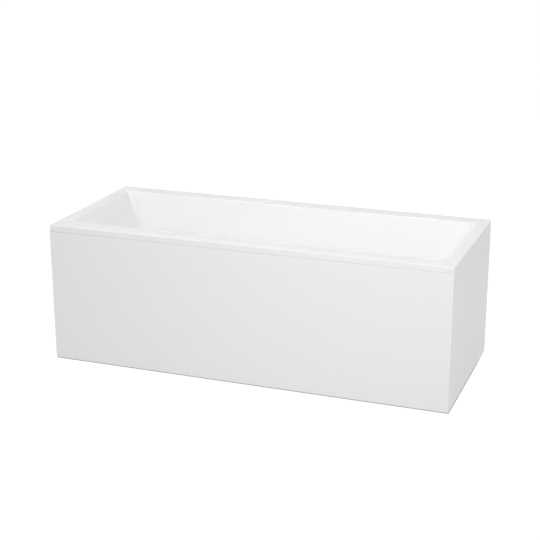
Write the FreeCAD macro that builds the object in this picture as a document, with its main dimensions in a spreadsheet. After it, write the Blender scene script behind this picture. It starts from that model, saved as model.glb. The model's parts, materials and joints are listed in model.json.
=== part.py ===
import FreeCAD, Part
import math
import os
import re

import Sketcher
from FreeCAD import Placement, Rotation, Vector

# An acrylic bathtub with a flat deck rim, two clip-on panels, a carrying frame on five
# levelling feet, and a pop-up waste worked by the knob on its overflow.
# Millimetres. +X runs along the tub to its drain end, +Y to the wall behind it, +Z up.
# The origin lies on the floor under the middle of the rim.

SIZES = [
    # rim and basin
    ("rim_length", 1700),
    ("rim_width", 700),
    ("rim_height", 590),
    ("shell_wall", 5),
    ("lip_depth", 24),
    ("rim_corner", 5),
    ("rim_edge", 4),
    ("end_deck", 55),
    ("side_deck", 80),
    ("floor_height", 170),
    ("backrest_angle", 25),
    ("foot_end_angle", 8),
    ("side_angle", 6),
    ("opening_corner", 20),
    ("floor_corner", 90),
    ("floor_fillet", 55),
    ("opening_roll", 7),
    # boards laminated under the shell
    ("board_thickness", 15),
    ("board_margin", 60),
    ("board_corner", 30),
    ("batten_width", 45),
    ("batten_gap", 7),
    ("end_batten_width", 30),
    ("batten_end_gap", 65),
    # carrying frame and feet
    ("rail_inset", 450),
    ("rail_width", 40),
    ("rail_height", 30),
    ("rail_sheet", 2.5),
    ("rail_setback", 50),
    ("hat_drop", 45),
    ("hat_width", 60),
    ("hat_brim", 24),
    ("hat_length", 120),
    ("foot_inset", 45),
    ("stud_radius", 6),
    ("stud_rise", 40),
    ("hat_stud_rise", 20),
    ("stud_clearance", 0.1),
    ("stud_seat", 6),
    ("pad_radius", 25),
    ("pad_height", 20),
    ("pad_neck", 11),
    ("nut_width", 19),
    ("nut_height", 10),
    ("screw_radius", 2),
    ("screw_head", 4),
    ("screw_head_height", 2.4),
    ("screw_length", 12),
    ("screw_clearance", 0.1),
    # panels
    ("panel_sheet", 4),
    ("panel_depth", 30),
    ("panel_gap", 4.5),
    ("panel_edge", 3),
    ("panel_seam", 0.4),
    ("toe_gap", 5),
    ("clip_sheet", 1.5),
    ("clip_width", 40),
    ("clip_inset", 290),
    ("clip_reach", 18),
    ("stay_width", 25),
    ("stay_sheet", 3),
    ("stay_drop", 40),
    ("stay_y", -150),
    # wall brackets
    ("bracket_inset", 300),
    ("bracket_width", 40),
    ("bracket_sheet", 2),
    ("bracket_drop", 60),
    ("bracket_reach", 55),
    ("bracket_hole", 3.5),
    ("bracket_hole_drop", 36),
    # pop-up waste
    ("drain_setback", 250),
    ("recess_radius", 42),
    ("recess_depth", 3),
    ("drain_hole", 26),
    ("gasket_thickness", 1),
    ("flange_radius", 38),
    ("flange_thickness", 2),
    ("tail_radius", 24.5),
    ("tail_wall", 2.5),
    ("tail_length", 26),
    ("guide_height", 6),
    ("plug_radius", 32),
    ("plug_thickness", 5),
    ("plug_rest", 0.4),
    ("stem_radius", 3),
    ("running_clearance", 0.08),
    ("plug_boss", 8),
    ("seal_relief", 0.9),
    ("plug_lift", 10),
    ("waste_seal_thickness", 3),
    ("waste_radius", 29),
    ("waste_depth", 47),
    ("neck_radius", 23.9),
    ("neck_wall", 3.9),
    ("neck_length", 18),
    # trap and outlet
    ("pipe_radius", 21),
    ("pipe_wall", 2.5),
    ("trap_drop", 18),
    ("bend_radius", 32),
    ("outlet_radius", 20),
    ("outlet_wall", 1.8),
    ("outlet_setback", 5),
    ("spigot_length", 48),
    ("stop_bead", 2),
    ("trap_nut_radius", 30),
    ("collar_height", 4),
    ("nut_scallop", 2.5),
    # overflow
    ("overflow_drop", 80),
    ("overflow_hole", 27),
    ("overflow_neck", 25),
    ("cup_radius", 30),
    ("cup_wall", 3),
    ("cup_depth", 37),
    ("hose_radius", 13),
    ("hose_wall", 2),
    ("nozzle_length", 52),
    ("nozzle_setback", 25),
    ("hose_bend", 60),
    ("hose_nut_radius", 16.5),
    ("hose_nut_length", 16),
    ("spindle_radius", 4),
    ("plate_radius", 36),
    ("plate_face", 4),
    ("water_hole", 4),
    ("knob_radius", 31),
    ("knob_thickness", 10),
    ("knob_scallop", 3.5),
    ("cable_radius", 3),
    ("cable_offset", 26),
    ("cable_port_end", 40),
    ("cable_grip", 8),
]

# Places and sizes that follow from the sheet, in its own names.
FOLLOWING = {
    "half_length": "rim_length / 2",
    "half_width": "rim_width / 2",
    "lip_bottom": "rim_height - lip_depth",
    "basin_depth": "rim_height - floor_height",
    "floor_top": "floor_height",
    "floor_under": "floor_top - shell_wall",
    "opening_end": "half_length - end_deck",
    "opening_side": "half_width - side_deck",
    "floor_head": "basin_depth * tan(backrest_angle) - opening_end",
    "floor_side": "opening_side - basin_depth * tan(side_angle)",
    "drain_x": "half_length - drain_setback",
    # boards and frame
    "board_under": "floor_under - board_thickness",
    "board_head": "floor_head + board_margin",
    "board_foot": "drain_x - recess_radius - board_margin",
    "board_side": "floor_side - board_margin",
    "batten_outer": "half_width - shell_wall - batten_gap",
    "batten_inner": "batten_outer - batten_width",
    "end_batten_outer": "half_length - shell_wall - batten_gap",
    "end_batten_inner": "end_batten_outer - end_batten_width",
    "rail_x": "half_length - rail_inset",
    "rail_length": "rim_width - 2 * rail_setback",
    "rail_web": "board_under - rail_sheet",
    "hat_web": "board_under - hat_drop",
    "foot_y": "rail_length / 2 - foot_inset",
    "stud_length": "board_under - stud_seat + stud_rise",
    "hat_stud_length": "hat_web - stud_seat + hat_stud_rise",
    "stud_bore": "stud_radius + stud_clearance",
    "web_bore": "stud_bore + 0.2",
    "screw_bore": "screw_radius + screw_clearance",
    # panels
    "panel_top": "lip_bottom - panel_gap",
    "end_panel_top": "lip_bottom - panel_seam",
    "seam_x": "half_length - panel_sheet",
    "panel_back": "panel_depth - half_width",
    "clip_x": "half_length - clip_inset",
    "bracket_x": "half_length - bracket_inset",
    "clip_leg": "panel_back + 6",
    "clip_screw_y": "(clip_leg + clip_sheet - batten_inner) / 2",
    "end_clip_leg": "half_length - panel_depth - 2",
    "end_clip_screw_x": "(end_clip_leg - clip_sheet + end_batten_inner) / 2",
    "bracket_screw_y": "10 - rail_length / 2",
    "stay_start": "rail_x + rail_width",
    # waste
    "recess_floor": "floor_top - recess_depth",
    "boss_under": "floor_under - recess_depth",
    "flange_under": "recess_floor + gasket_thickness",
    "flange_top": "flange_under + flange_thickness",
    "tail_bottom": "flange_under - tail_length",
    "tail_bore": "tail_radius - tail_wall",
    "plug_under": "flange_top + plug_rest",
    "stem_top": "plug_under - 3",
    "stem_bore": "stem_radius + running_clearance",
    "waste_top": "boss_under - waste_seal_thickness",
    "waste_bottom": "waste_top - waste_depth",
    "neck_bottom": "waste_bottom - neck_length",
    "neck_bore": "neck_radius - neck_wall",
    "nozzle_radius": "hose_radius + 0.5",
    "hose_bore": "hose_radius - hose_wall",
    "port_z": "tail_bottom - nozzle_radius - 1.5",
    "port_end": "waste_radius + 19",
    "cable_z": "port_z + 3",
    "gland_end": "waste_radius + 9",
    "cable_bore": "cable_radius + 0.1",
    "pipe_bore": "pipe_radius - pipe_wall",
    "bend_start": "neck_bottom - trap_drop",
    "outlet_z": "bend_start + bend_radius",
    "trap_end": "3 * bend_radius + 18",
    "outlet_end": "half_width - outlet_setback",
    # overflow, whose pieces stand square to the sloping foot end wall
    "overflow_x": "opening_end - overflow_drop * tan(foot_end_angle)",
    "overflow_z": "rim_height - overflow_drop",
    "cup_front": "-(shell_wall + 3)",
    "cup_end": "cup_front - cup_depth",
    "cup_back": "cup_end + cup_wall",
    "spindle_bore": "spindle_radius + running_clearance",
    "spindle_top": "plate_face + 9",
    "nozzle_x": "overflow_x - nozzle_length * sin(foot_end_angle) + nozzle_setback * cos(foot_end_angle)",
    "nozzle_z": "overflow_z - nozzle_length * cos(foot_end_angle) - nozzle_setback * sin(foot_end_angle)",
    "hose_turn_x": "nozzle_x - (nozzle_z - port_z) * tan(foot_end_angle)",
    "hose_reach": "hose_bend * tan((90 - foot_end_angle) / 2)",
}

WORD = re.compile(r"[a-z_]+\b(?!\()")

doc = FreeCAD.newDocument("alcove_bathtub")
sheet = doc.addObject("Spreadsheet::Sheet", "sizes")
for row, (name, value) in enumerate(SIZES, start=1):
    sheet.set(f"A{row}", name)
    sheet.set(f"B{row}", str(value))
    sheet.setAlias(f"B{row}", name)
doc.recompute()

nodes = {}


def formula(text):
    """A size in the names above, as an expression on the sheet."""

    def spelled(match):
        word = match.group(0)
        if word in FOLLOWING:
            return "(" + formula(FOLLOWING[word]) + ")"
        return "sizes." + word

    return WORD.sub(spelled, text)


def number(text):
    """The present value of a size."""
    value = sheet.evalExpression(formula(text))
    return float(getattr(value, "Value", value))


def bind(item, values):
    """Tie properties of an item to sizes."""
    for path, text in values.items():
        item.setExpression(path, formula(text))


def node(item, name):
    """Name an item as one of the finished pieces."""
    item.Label = name
    nodes[name] = item
    return item


def new_body(name):
    return doc.addObject("PartDesign::Body", name)


def plane(body, role):
    return next(feature for feature in body.Origin.OriginFeatures if feature.Role == role)


# ---- sketches -------------------------------------------------------------------------


def new_sketch(body, role, name, lift="0"):
    """A sketch on one of the body's origin planes, lifted along that plane's normal."""
    sketch = body.newObject("Sketcher::SketchObject", name)
    sketch.AttachmentSupport = [(plane(body, role), "")]
    sketch.MapMode = "FlatFace"
    bind(sketch, {"AttachmentOffset.Base.z": lift})
    return sketch


def dimension(sketch, kind, places, text):
    index = sketch.addConstraint(Sketcher.Constraint(kind, *places, number(text)))
    bind(sketch, {f"Constraints[{index}]": text})


def hold(sketch, shape, point, x, y):
    """Hold one point of a line or circle at a distance from the origin."""
    dimension(sketch, "DistanceX", (-1, 1, shape, point), x)
    dimension(sketch, "DistanceY", (-1, 1, shape, point), y)


def spot(x, y):
    return Vector(number(x), number(y), 0)


def outline(sketch, corners):
    """A closed outline through its corners."""
    following = corners[1:] + corners[:1]
    lines = [
        sketch.addGeometry(Part.LineSegment(spot(*start), spot(*end)), False)
        for start, end in zip(corners, following)
    ]
    for line, after in zip(lines, lines[1:] + lines[:1]):
        sketch.addConstraint(Sketcher.Constraint("Coincident", line, 2, after, 1))
    for line, (x, y) in zip(lines, corners):
        hold(sketch, line, 1, x, y)


def rectangle(sketch, left, right, bottom, top):
    outline(sketch, [(left, bottom), (right, bottom), (right, top), (left, top)])


def circle(sketch, x, y, radius):
    ring = Part.Circle(spot(x, y), Vector(0, 0, 1), number(radius))
    index = sketch.addGeometry(ring, False)
    hold(sketch, index, 3, x, y)
    dimension(sketch, "Radius", (index,), radius)


def rounded_rectangle(sketch, left, right, bottom, top, radius):
    """A rectangle whose corners are quarter circles."""
    inner = [f"{left} + {radius}", f"{right} - {radius}", f"{bottom} + {radius}", f"{top} - {radius}"]
    west, east, south, north = inner
    runs = [
        ((west, bottom), (east, bottom)),
        ((right, south), (right, north)),
        ((east, top), (west, top)),
        ((left, north), (left, south)),
    ]
    centres = [(east, south), (east, north), (west, north), (west, south)]
    sides = []
    for start, end in runs:
        side = sketch.addGeometry(Part.LineSegment(spot(*start), spot(*end)), False)
        hold(sketch, side, 1, *start)
        hold(sketch, side, 2, *end)
        sides.append(side)
    for turn, (side, after, centre) in enumerate(zip(sides, sides[1:] + sides[:1], centres)):
        sweep_start = math.radians(90 * turn - 90)
        full = Part.Circle(spot(*centre), Vector(0, 0, 1), number(radius))
        arc = sketch.addGeometry(Part.ArcOfCircle(full, sweep_start, sweep_start + math.pi / 2), False)
        sketch.addConstraint(Sketcher.Constraint("Coincident", side, 2, arc, 1))
        sketch.addConstraint(Sketcher.Constraint("Coincident", arc, 2, after, 1))
        dimension(sketch, "Radius", (arc,), radius)


def track(sketch, start, legs):
    """An open path. Each leg ends at (x, y) and is straight, or bends with a radius to a side."""
    ends = [start]
    shapes = []
    for x, y, radius, side in legs:
        first, last = spot(*ends[-1]), spot(x, y)
        if radius is None:
            shapes.append(sketch.addGeometry(Part.LineSegment(first, last), False))
        else:
            shapes.append(sketch.addGeometry(bend(first, last, number(radius), side), False))
        ends.append((x, y))
    for place, (shape, (x, y, radius, side)) in enumerate(zip(shapes, legs)):
        tip, tail = (2, 1) if side != "right" else (1, 2)
        hold(sketch, shape, tail, *ends[place])
        hold(sketch, shape, tip, x, y)
        if radius is not None:
            dimension(sketch, "Radius", (shape,), radius)


def bend(first, last, radius, side):
    """The arc from first to last that turns to the left or the right."""
    chord = last - first
    across = Vector(-chord.y, chord.x, 0).normalize()
    if side == "right":
        across = across * -1
    centre = (first + last) * 0.5 + across * math.sqrt(max(radius**2 - chord.Length**2 / 4, 0))
    start, end = (first, last) if side == "left" else (last, first)
    angles = [math.atan2(point.y - centre.y, point.x - centre.x) for point in (start, end)]
    if angles[1] < angles[0]:
        angles[1] += 2 * math.pi
    return Part.ArcOfCircle(Part.Circle(centre, Vector(0, 0, 1), radius), *angles)


# ---- features -------------------------------------------------------------------------

ALONG = {"X": "YZ_Plane", "Y": "XZ_Plane", "Z": "XY_Plane"}


def swept_sketch(body, axis, name, start, length):
    """The sketch of a pad or pocket that runs from start over length along an axis.

    The XZ plane faces -Y, so along Y the sketch lies at the far end."""
    lift = f"-({start} + {length})" if axis == "Y" else start
    return new_sketch(body, ALONG[axis], name + "_outline", lift)


def pad(body, name, axis, start, length, draw):
    sketch = swept_sketch(body, axis, name, start, length)
    draw(sketch)
    feature = body.newObject("PartDesign::Pad", name)
    feature.Profile = sketch
    bind(feature, {"Length": length})
    return feature


def pocket(body, name, axis, start, length, draw):
    doc.recompute()
    before = body.Tip.Shape.Volume
    sketch = swept_sketch(body, axis, name, start, length)
    draw(sketch)
    feature = body.newObject("PartDesign::Pocket", name)
    feature.Profile = sketch
    feature.Reversed = True
    bind(feature, {"Length": length})
    check_removed(feature, before)
    return feature


def check_removed(feature, before):
    doc.recompute()
    if feature.Shape.Volume > before - 1e-6:
        raise RuntimeError(f"{feature.Name} removes nothing")


def revolve(body, name, profile):
    """A full turn about the body's Z axis. The profile holds (radius, height) corners."""
    sketch = new_sketch(body, "XZ_Plane", name + "_profile")
    outline(sketch, profile)
    feature = body.newObject("PartDesign::Revolution", name)
    feature.Profile = sketch
    feature.ReferenceAxis = (sketch, ["V_Axis"])
    feature.Angle = 360
    return feature


def edges(feature, wanted):
    """The names of a feature's edges whose bounding box is wanted."""
    doc.recompute()
    found = [
        f"Edge{index}"
        for index, edge in enumerate(feature.Shape.Edges, start=1)
        if wanted(edge.BoundBox)
    ]
    if not found:
        raise RuntimeError(f"{feature.Name} has no such edge")
    return found


def near(value, text):
    return abs(value - number(text)) < 0.01


def level(text):
    """Picks edges that lie at one height."""
    return lambda box: near(box.ZMin, text) and near(box.ZMax, text)


def fillet(body, name, radius, wanted):
    base = body.Tip
    feature = body.newObject("PartDesign::Fillet", name)
    feature.Base = (base, edges(base, wanted))
    bind(feature, {"Radius": radius})
    return feature


def polar(body, name, feature, copies):
    """Copies of a feature round the body's Z axis."""
    pattern = body.newObject("PartDesign::PolarPattern", name)
    pattern.Originals = [feature]
    pattern.Axis = (plane(body, "Z_Axis"), [""])
    pattern.Angle = 360
    pattern.Occurrences = copies
    body.Tip = pattern
    return pattern


def move(item, x="0", y="0", z="0"):
    bind(item, {"Placement.Base.x": x, "Placement.Base.y": y, "Placement.Base.z": z})


def turn(item, axis, angle):
    item.Placement = Placement(Vector(), Rotation(axis, 1))
    bind(item, {"Placement.Rotation.Angle": angle})


def group(name, items):
    """Several like pieces kept as one node."""
    bundle = doc.addObject("Part::Compound", name)
    bundle.Links = items
    return node(bundle, name)


# ---- shell ----------------------------------------------------------------------------


def wall_at(drop, skin):
    """Where the basin's walls stand at a drop below the rim, skin outside their inner faces."""
    head = f"-(opening_end - ({drop}) * tan(backrest_angle) + ({skin}) / cos(backrest_angle))"
    foot = f"opening_end - ({drop}) * tan(foot_end_angle) + ({skin}) / cos(foot_end_angle)"
    side = f"(opening_side - ({drop}) * tan(side_angle) + ({skin}) / cos(side_angle))"
    return head, foot, side


def corner_at(drop, skin):
    """The basin's corner radius, which grows evenly from the opening to the floor."""
    return f"opening_corner + (floor_corner - opening_corner) * ({drop}) / basin_depth + ({skin})"


def facing(feature, direction):
    """The name of the flat face that points most nearly in a direction."""
    faces = list(enumerate(feature.Shape.Faces, start=1))
    index = max(faces, key=lambda entry: entry[1].normalAt(0, 0).dot(direction))[0]
    return f"Face{index}"


def draft(body, base, direction, angle):
    """Lean one wall of a block inwards below its top face."""
    feature = body.newObject("PartDesign::Draft", f"{base.Name}_lean")
    feature.Base = (base, [facing(base, direction)])
    feature.NeutralPlane = (base, [facing(base, Vector(0, 0, 1))])
    bind(feature, {"Angle": angle})
    doc.recompute()
    if feature.Shape.Volume > base.Shape.Volume:
        feature.Reversed = True
        doc.recompute()
    return feature


def basin_form(name, drop, skin):
    """The solid of the basin, from a drop below the rim to its floor, skin outside its inner faces."""
    body = new_body(name + "_block")
    head, foot, side = wall_at(drop, skin)
    depth = f"basin_depth + ({skin}) - ({drop})"
    block = pad(
        body, name, "Z", f"rim_height - ({drop}) - ({depth})", depth,
        lambda sketch: rectangle(sketch, head, foot, f"-{side}", side),
    )
    doc.recompute()
    leaning = draft(body, block, Vector(-1, 0, 0), "backrest_angle")
    leaning = draft(body, leaning, Vector(1, 0, 0), "foot_end_angle")
    for way in (-1, 1):
        leaning = draft(body, leaning, Vector(0, way, 0), "side_angle")

    corners = doc.addObject("Part::Fillet", name + "_corners")
    corners.Base = body
    top, bottom = number(corner_at(drop, skin)), number(corner_at(f"basin_depth + ({skin})", skin))
    rounded = []
    for index, edge in enumerate(body.Shape.Edges, start=1):
        upright = edge.BoundBox.ZLength > number(depth) - 0.01
        if upright:
            falls = edge.valueAt(edge.FirstParameter).z > edge.valueAt(edge.LastParameter).z
            rounded.append((index, top, bottom) if falls else (index, bottom, top))
    corners.Edges = rounded
    doc.recompute()

    form = doc.addObject("Part::Fillet", name + "_form")
    form.Base = corners
    at_floor = level(f"floor_top - ({skin})")
    radius = number(f"floor_fillet + ({skin})")
    form.Edges = [
        (index, radius, radius)
        for index, edge in enumerate(corners.Shape.Edges, start=1)
        if at_floor(edge.BoundBox)
    ]
    doc.recompute()
    return form


def rim_deck():
    """The flat deck and the lip that hangs from its edge."""
    body = new_body("rim_deck")
    pad(
        body, "deck", "Z", "lip_bottom", "lip_depth",
        lambda sketch: rounded_rectangle(
            sketch, "-half_length", "half_length", "-half_width", "half_width", "rim_corner"
        ),
    )
    fillet(body, "rim_edge_round", "rim_edge", level("rim_height"))
    pocket(
        body, "under_deck", "Z", "lip_bottom", "lip_depth - shell_wall",
        lambda sketch: rounded_rectangle(
            sketch, "shell_wall - half_length", "half_length - shell_wall",
            "shell_wall - half_width", "half_width - shell_wall", "rim_corner / 2",
        ),
    )
    return body


def tilted_sketch(body, name):
    """A sketch square to the foot end wall, centred where the overflow passes through it."""
    sketch = new_sketch(body, "YZ_Plane", name, "overflow_x")
    sketch.AttachmentOffset = Placement(Vector(), Rotation(Vector(1, 0, 0), 1))
    bind(sketch, {
        "AttachmentOffset.Base.y": "overflow_z",
        "AttachmentOffset.Base.z": "overflow_x",
        "AttachmentOffset.Rotation.Angle": "foot_end_angle",
    })
    return sketch


def tub_shell():
    outer = basin_form("outer", "shell_wall / 2", "shell_wall")
    inner = basin_form("inner", "0", "0")
    solid = doc.addObject("Part::Fuse", "filled_tub")
    solid.Base, solid.Tool = rim_deck(), outer
    hollow = doc.addObject("Part::Cut", "hollow_tub")
    hollow.Base, hollow.Tool = solid, inner
    doc.recompute()

    body = new_body("tub_shell")
    body.BaseFeature = hollow
    doc.recompute()
    deck_middle = number("half_width") - number("side_deck") / 2
    at_rim = level("rim_height")
    fillet(
        body, "opening_round", "opening_roll",
        lambda box: at_rim(box) and max(abs(box.YMin), abs(box.YMax)) < deck_middle,
    )
    pad(
        body, "drain_boss", "Z", "boss_under", "recess_depth + shell_wall / 2",
        lambda sketch: circle(sketch, "drain_x", "0", "recess_radius + shell_wall"),
    )
    pocket(
        body, "drain_recess", "Z", "recess_floor", "recess_depth + 1",
        lambda sketch: circle(sketch, "drain_x", "0", "recess_radius"),
    )
    pocket(
        body, "drain_opening", "Z", "boss_under - 1", "shell_wall + 2",
        lambda sketch: circle(sketch, "drain_x", "0", "drain_hole"),
    )
    fillet(
        body, "recess_round", "recess_depth / 2",
        lambda box: level("floor_top")(box) and near(box.YLength, "2 * recess_radius"),
    )
    doc.recompute()
    before = body.Tip.Shape.Volume
    sketch = tilted_sketch(body, "overflow_outline")
    circle(sketch, "0", "0", "overflow_hole")
    opening = body.newObject("PartDesign::Pocket", "overflow_opening")
    opening.Profile = sketch
    opening.SideType = "Symmetric"
    bind(opening, {"Length": "4 * shell_wall"})
    check_removed(opening, before)
    node(body, "tub_shell")


# ---- boards under the shell -----------------------------------------------------------


def bores(body, name, axis, start, length, places, radius):
    """Round bores along an axis, at (u, v) places of the plane square to it."""

    def draw(sketch):
        for u, v in places:
            circle(sketch, u, v, radius)

    return pocket(body, name, axis, start, length, draw)


def rail_screws():
    return [
        (f"{across} * rail_width / 5", f"{way} * board_side / 2")
        for across in (-1, 1)
        for way in (-1, 1)
    ]


def hat_screws():
    return [
        (f"{side} * (hat_width + hat_brim) / 2", f"{way} * hat_length / 3")
        for side in (-1, 1)
        for way in (-1, 1)
    ]


def stay_screws():
    return [(f"stay_start + {step} * stay_width", "stay_y") for step in (0.6, 1.8)]


def board_screws():
    """Every screw driven up into the floor board: (x, y, underside of what it holds)."""
    rails = [(f"{side} * rail_x + {x}", y, "rail_web") for side in (-1, 1) for x, y in rail_screws()]
    hat = [(x, y, "rail_web") for x, y in hat_screws()]
    stay = [(x, y, "board_under - stay_sheet") for x, y in stay_screws()]
    return rails + hat + stay


def floor_board():
    body = new_body("floor_board")
    pad(
        body, "board", "Z", "board_under", "board_thickness",
        lambda sketch: rounded_rectangle(
            sketch, "board_head", "board_foot", "-board_side", "board_side", "board_corner"
        ),
    )
    places = [(x, y) for x, y, seat in board_screws()]
    bores(body, "pilot_holes", "Z", "board_under", "screw_length - rail_sheet + 0.5", places, "screw_bore")
    node(body, "floor_board")


def batten(name, left, right, front, back, pilots):
    """A strip laminated under the deck, flush with the lip's lower edge."""
    body = new_body(name)
    pad(
        body, name + "_strip", "Z", "lip_bottom", "lip_depth - shell_wall",
        lambda sketch: rectangle(sketch, left, right, front, back),
    )
    fillet(body, name + "_corners", "panel_edge", lambda box: box.ZLength > 1)
    if pilots:
        depth = "screw_length - clip_sheet + 0.5"
        bores(body, name + "_pilot_holes", "Z", "lip_bottom", depth, pilots, "screw_bore")
    node(body, name)


def rim_battens():
    side_end = "(end_batten_inner - batten_gap)"
    end_half = "(half_width - batten_end_gap)"
    batten("rim_batten_front", f"-{side_end}", side_end, "-batten_outer", "-batten_inner",
           front_clip_screws())
    batten("rim_batten_back", f"-{side_end}", side_end, "batten_inner", "batten_outer",
           wall_bracket_screws())
    batten("rim_batten_head", "-end_batten_outer", "-end_batten_inner", f"-{end_half}", end_half, [])
    batten("rim_batten_foot", "end_batten_inner", "end_batten_outer", f"-{end_half}", end_half,
           end_clip_screws())


# ---- carrying frame -------------------------------------------------------------------


def cradle_rail(name, side):
    """A channel open downwards, across the tub, with a levelling foot near each end."""
    body = new_body(name)
    low = "(board_under - rail_height)"
    pad(
        body, name + "_bar", "Y", "-rail_length / 2", "rail_length",
        lambda sketch: rectangle(sketch, "-rail_width / 2", "rail_width / 2", low, "board_under"),
    )
    at_top, at_web, width = level("board_under"), level("rail_web"), number("rail_width")
    fillet(body, name + "_bends", "2 * rail_sheet", lambda box: at_top(box) and box.YLength > width)
    inner = "(rail_width / 2 - rail_sheet)"
    pocket(
        body, name + "_inside", "Y", "-rail_length / 2 - 1", "rail_length + 2",
        lambda sketch: rectangle(sketch, f"-{inner}", inner, f"{low} - 1", "rail_web"),
    )
    fillet(body, name + "_inner_bends", "rail_sheet", lambda box: at_web(box) and box.YLength > width)
    feet = [("0", "-foot_y"), ("0", "foot_y")]
    bores(body, name + "_foot_holes", "Z", "rail_web - 1", "rail_sheet + 2", feet, "web_bore")
    screws = rail_screws() + [("0", "bracket_screw_y")]
    bores(body, name + "_screw_holes", "Z", "rail_web - 1", "rail_sheet + 2", screws, "screw_bore")
    move(body, x=f"{side} * rail_x")
    node(body, name)


def centre_leg_bracket():
    """A hat section under the middle of the floor board, carrying the fifth foot."""
    body = new_body("centre_leg_bracket")
    half, brim, thin = "hat_width / 2", "hat_width / 2 + hat_brim", "rail_sheet"
    profile = [
        (f"-({brim})", "board_under"), (f"-({brim})", "rail_web"), (f"-{half}", "rail_web"),
        (f"-{half}", "hat_web"), (half, "hat_web"), (half, "rail_web"), (brim, "rail_web"),
        (brim, "board_under"), (f"{half} - {thin}", "board_under"),
        (f"{half} - {thin}", f"hat_web + {thin}"), (f"{thin} - {half}", f"hat_web + {thin}"),
        (f"{thin} - {half}", "board_under"),
    ]
    pad(body, "hat", "Y", "-hat_length / 2", "hat_length", lambda sketch: outline(sketch, profile))
    at_web = level("hat_web")
    fillet(body, "hat_bends", "rail_sheet", lambda box: at_web(box) and box.YLength > 1)
    bores(body, "hat_foot_hole", "Z", "hat_web - 1", "rail_sheet + 2", [("0", "0")], "web_bore")
    bores(body, "hat_screw_holes", "Z", "rail_web - 1", "rail_sheet + 2", hat_screws(), "screw_bore")
    node(body, "centre_leg_bracket")


FEET = [
    ("head_front", "-rail_x", "-foot_y", "rail_web", "stud_length"),
    ("head_back", "-rail_x", "foot_y", "rail_web", "stud_length"),
    ("foot_front", "rail_x", "-foot_y", "rail_web", "stud_length"),
    ("foot_back", "rail_x", "foot_y", "rail_web", "stud_length"),
    ("centre", "0", "0", "hat_web", "hat_stud_length"),
]


def hexagon(sketch, width, u="0", v="0"):
    """A hexagon by its width across flats."""
    reach = f"{width} / 2 / cos(30)"
    outline(sketch, [
        (f"{u} + {reach} * cos({angle})", f"{v} + {reach} * sin({angle})") for angle in range(0, 360, 60)
    ])


def leg_stud(name, length):
    body = new_body(f"leg_stud_{name}")
    top = f"stud_seat + {length}"
    revolve(body, f"stud_{name}", [
        ("0", "stud_seat"), ("stud_radius - 1", "stud_seat"), ("stud_radius", "stud_seat + 1"),
        ("stud_radius", f"{top} - 1.5"), ("stud_radius - 1.5", top), ("0", top),
    ])
    return node(body, f"leg_stud_{name}")


def foot_pad(name):
    body = new_body(f"foot_pad_{name}")
    revolve(body, f"pad_{name}", [
        ("0", "0"), ("pad_radius - 1", "0"), ("pad_radius", "1"), ("pad_radius", "4"),
        ("pad_neck + 1", "pad_height - 5"), ("pad_neck", "pad_height - 3"), ("pad_neck", "pad_height"),
        ("stud_bore", "pad_height"), ("stud_bore", "stud_seat"), ("0", "stud_seat"),
    ])
    return node(body, f"foot_pad_{name}")


def lock_nut(name, base):
    body = new_body(name)
    pad(body, name + "_block", "Z", base, "nut_height", lambda sketch: hexagon(sketch, "nut_width"))
    bores(body, name + "_bore", "Z", f"{base} - 1", "nut_height + 2", [("0", "0")], "stud_bore")
    return body


def levelling_feet():
    """Threaded studs with swivel pads, each locked by a nut below and above its web."""
    nuts = []
    for name, x, y, web, length in FEET:
        pair = [
            lock_nut(f"nut_under_{name}", f"{web} - nut_height"),
            lock_nut(f"nut_over_{name}", f"{web} + rail_sheet"),
        ]
        for item in [leg_stud(name, length), foot_pad(name)] + pair:
            move(item, x, y)
        nuts += pair
    group("leg_nuts", nuts)


def screw(name, length="screw_length"):
    """A pan-head screw that points up from the face it holds."""
    body = new_body(name)
    revolve(body, name + "_turned", [
        ("0", "-screw_head_height"), ("screw_head - 1", "-screw_head_height"),
        ("screw_head", "1 - screw_head_height"), ("screw_head", "0"), ("screw_radius", "0"),
        ("screw_radius", f"{length} - 2"), ("screw_radius / 2", length), ("0", length),
    ])
    return body


def upright_screws(name, places):
    items = []
    for index, (x, y, seat) in enumerate(places, start=1):
        items.append(screw(f"{name}_{index}"))
        move(items[-1], x, y, seat)
    group(name, items)


def side_screws(name, places):
    """Screws that point along +X from the faces they hold: (seat, y, z, length)."""
    items = []
    for index, (seat, y, z, length) in enumerate(places, start=1):
        items.append(screw(f"{name}_{index}", length))
        turn(items[-1], Vector(0, 1, 0), "90")
        move(items[-1], seat, y, z)
    group(name, items)


# ---- panels and what holds them -------------------------------------------------------


def tray(body, name, left, right, front, back, low, high, open_side):
    """A sheet with flanges turned back all round: a block hollowed from one side."""
    block = pad(
        body, name + "_block", "Z", low, f"{high} - ({low})",
        lambda sketch: rectangle(sketch, left, right, front, back),
    )
    doc.recompute()
    feature = body.newObject("PartDesign::Thickness", name + "_flanges")
    feature.Base = (block, [facing(block, open_side)])
    feature.Join = "Intersection"
    feature.Reversed = True
    bind(feature, {"Value": "panel_sheet"})
    doc.recompute()


def seam_screw_places():
    return [("-half_width + panel_sheet + panel_depth / 2", f"toe_gap + {part} * (panel_top - toe_gap)")
            for part in (0.15, 0.5, 0.85)]


def tab_screw_places():
    return [("stay_y", f"board_under - {part} * stay_drop") for part in (0.4, 0.75)]


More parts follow.
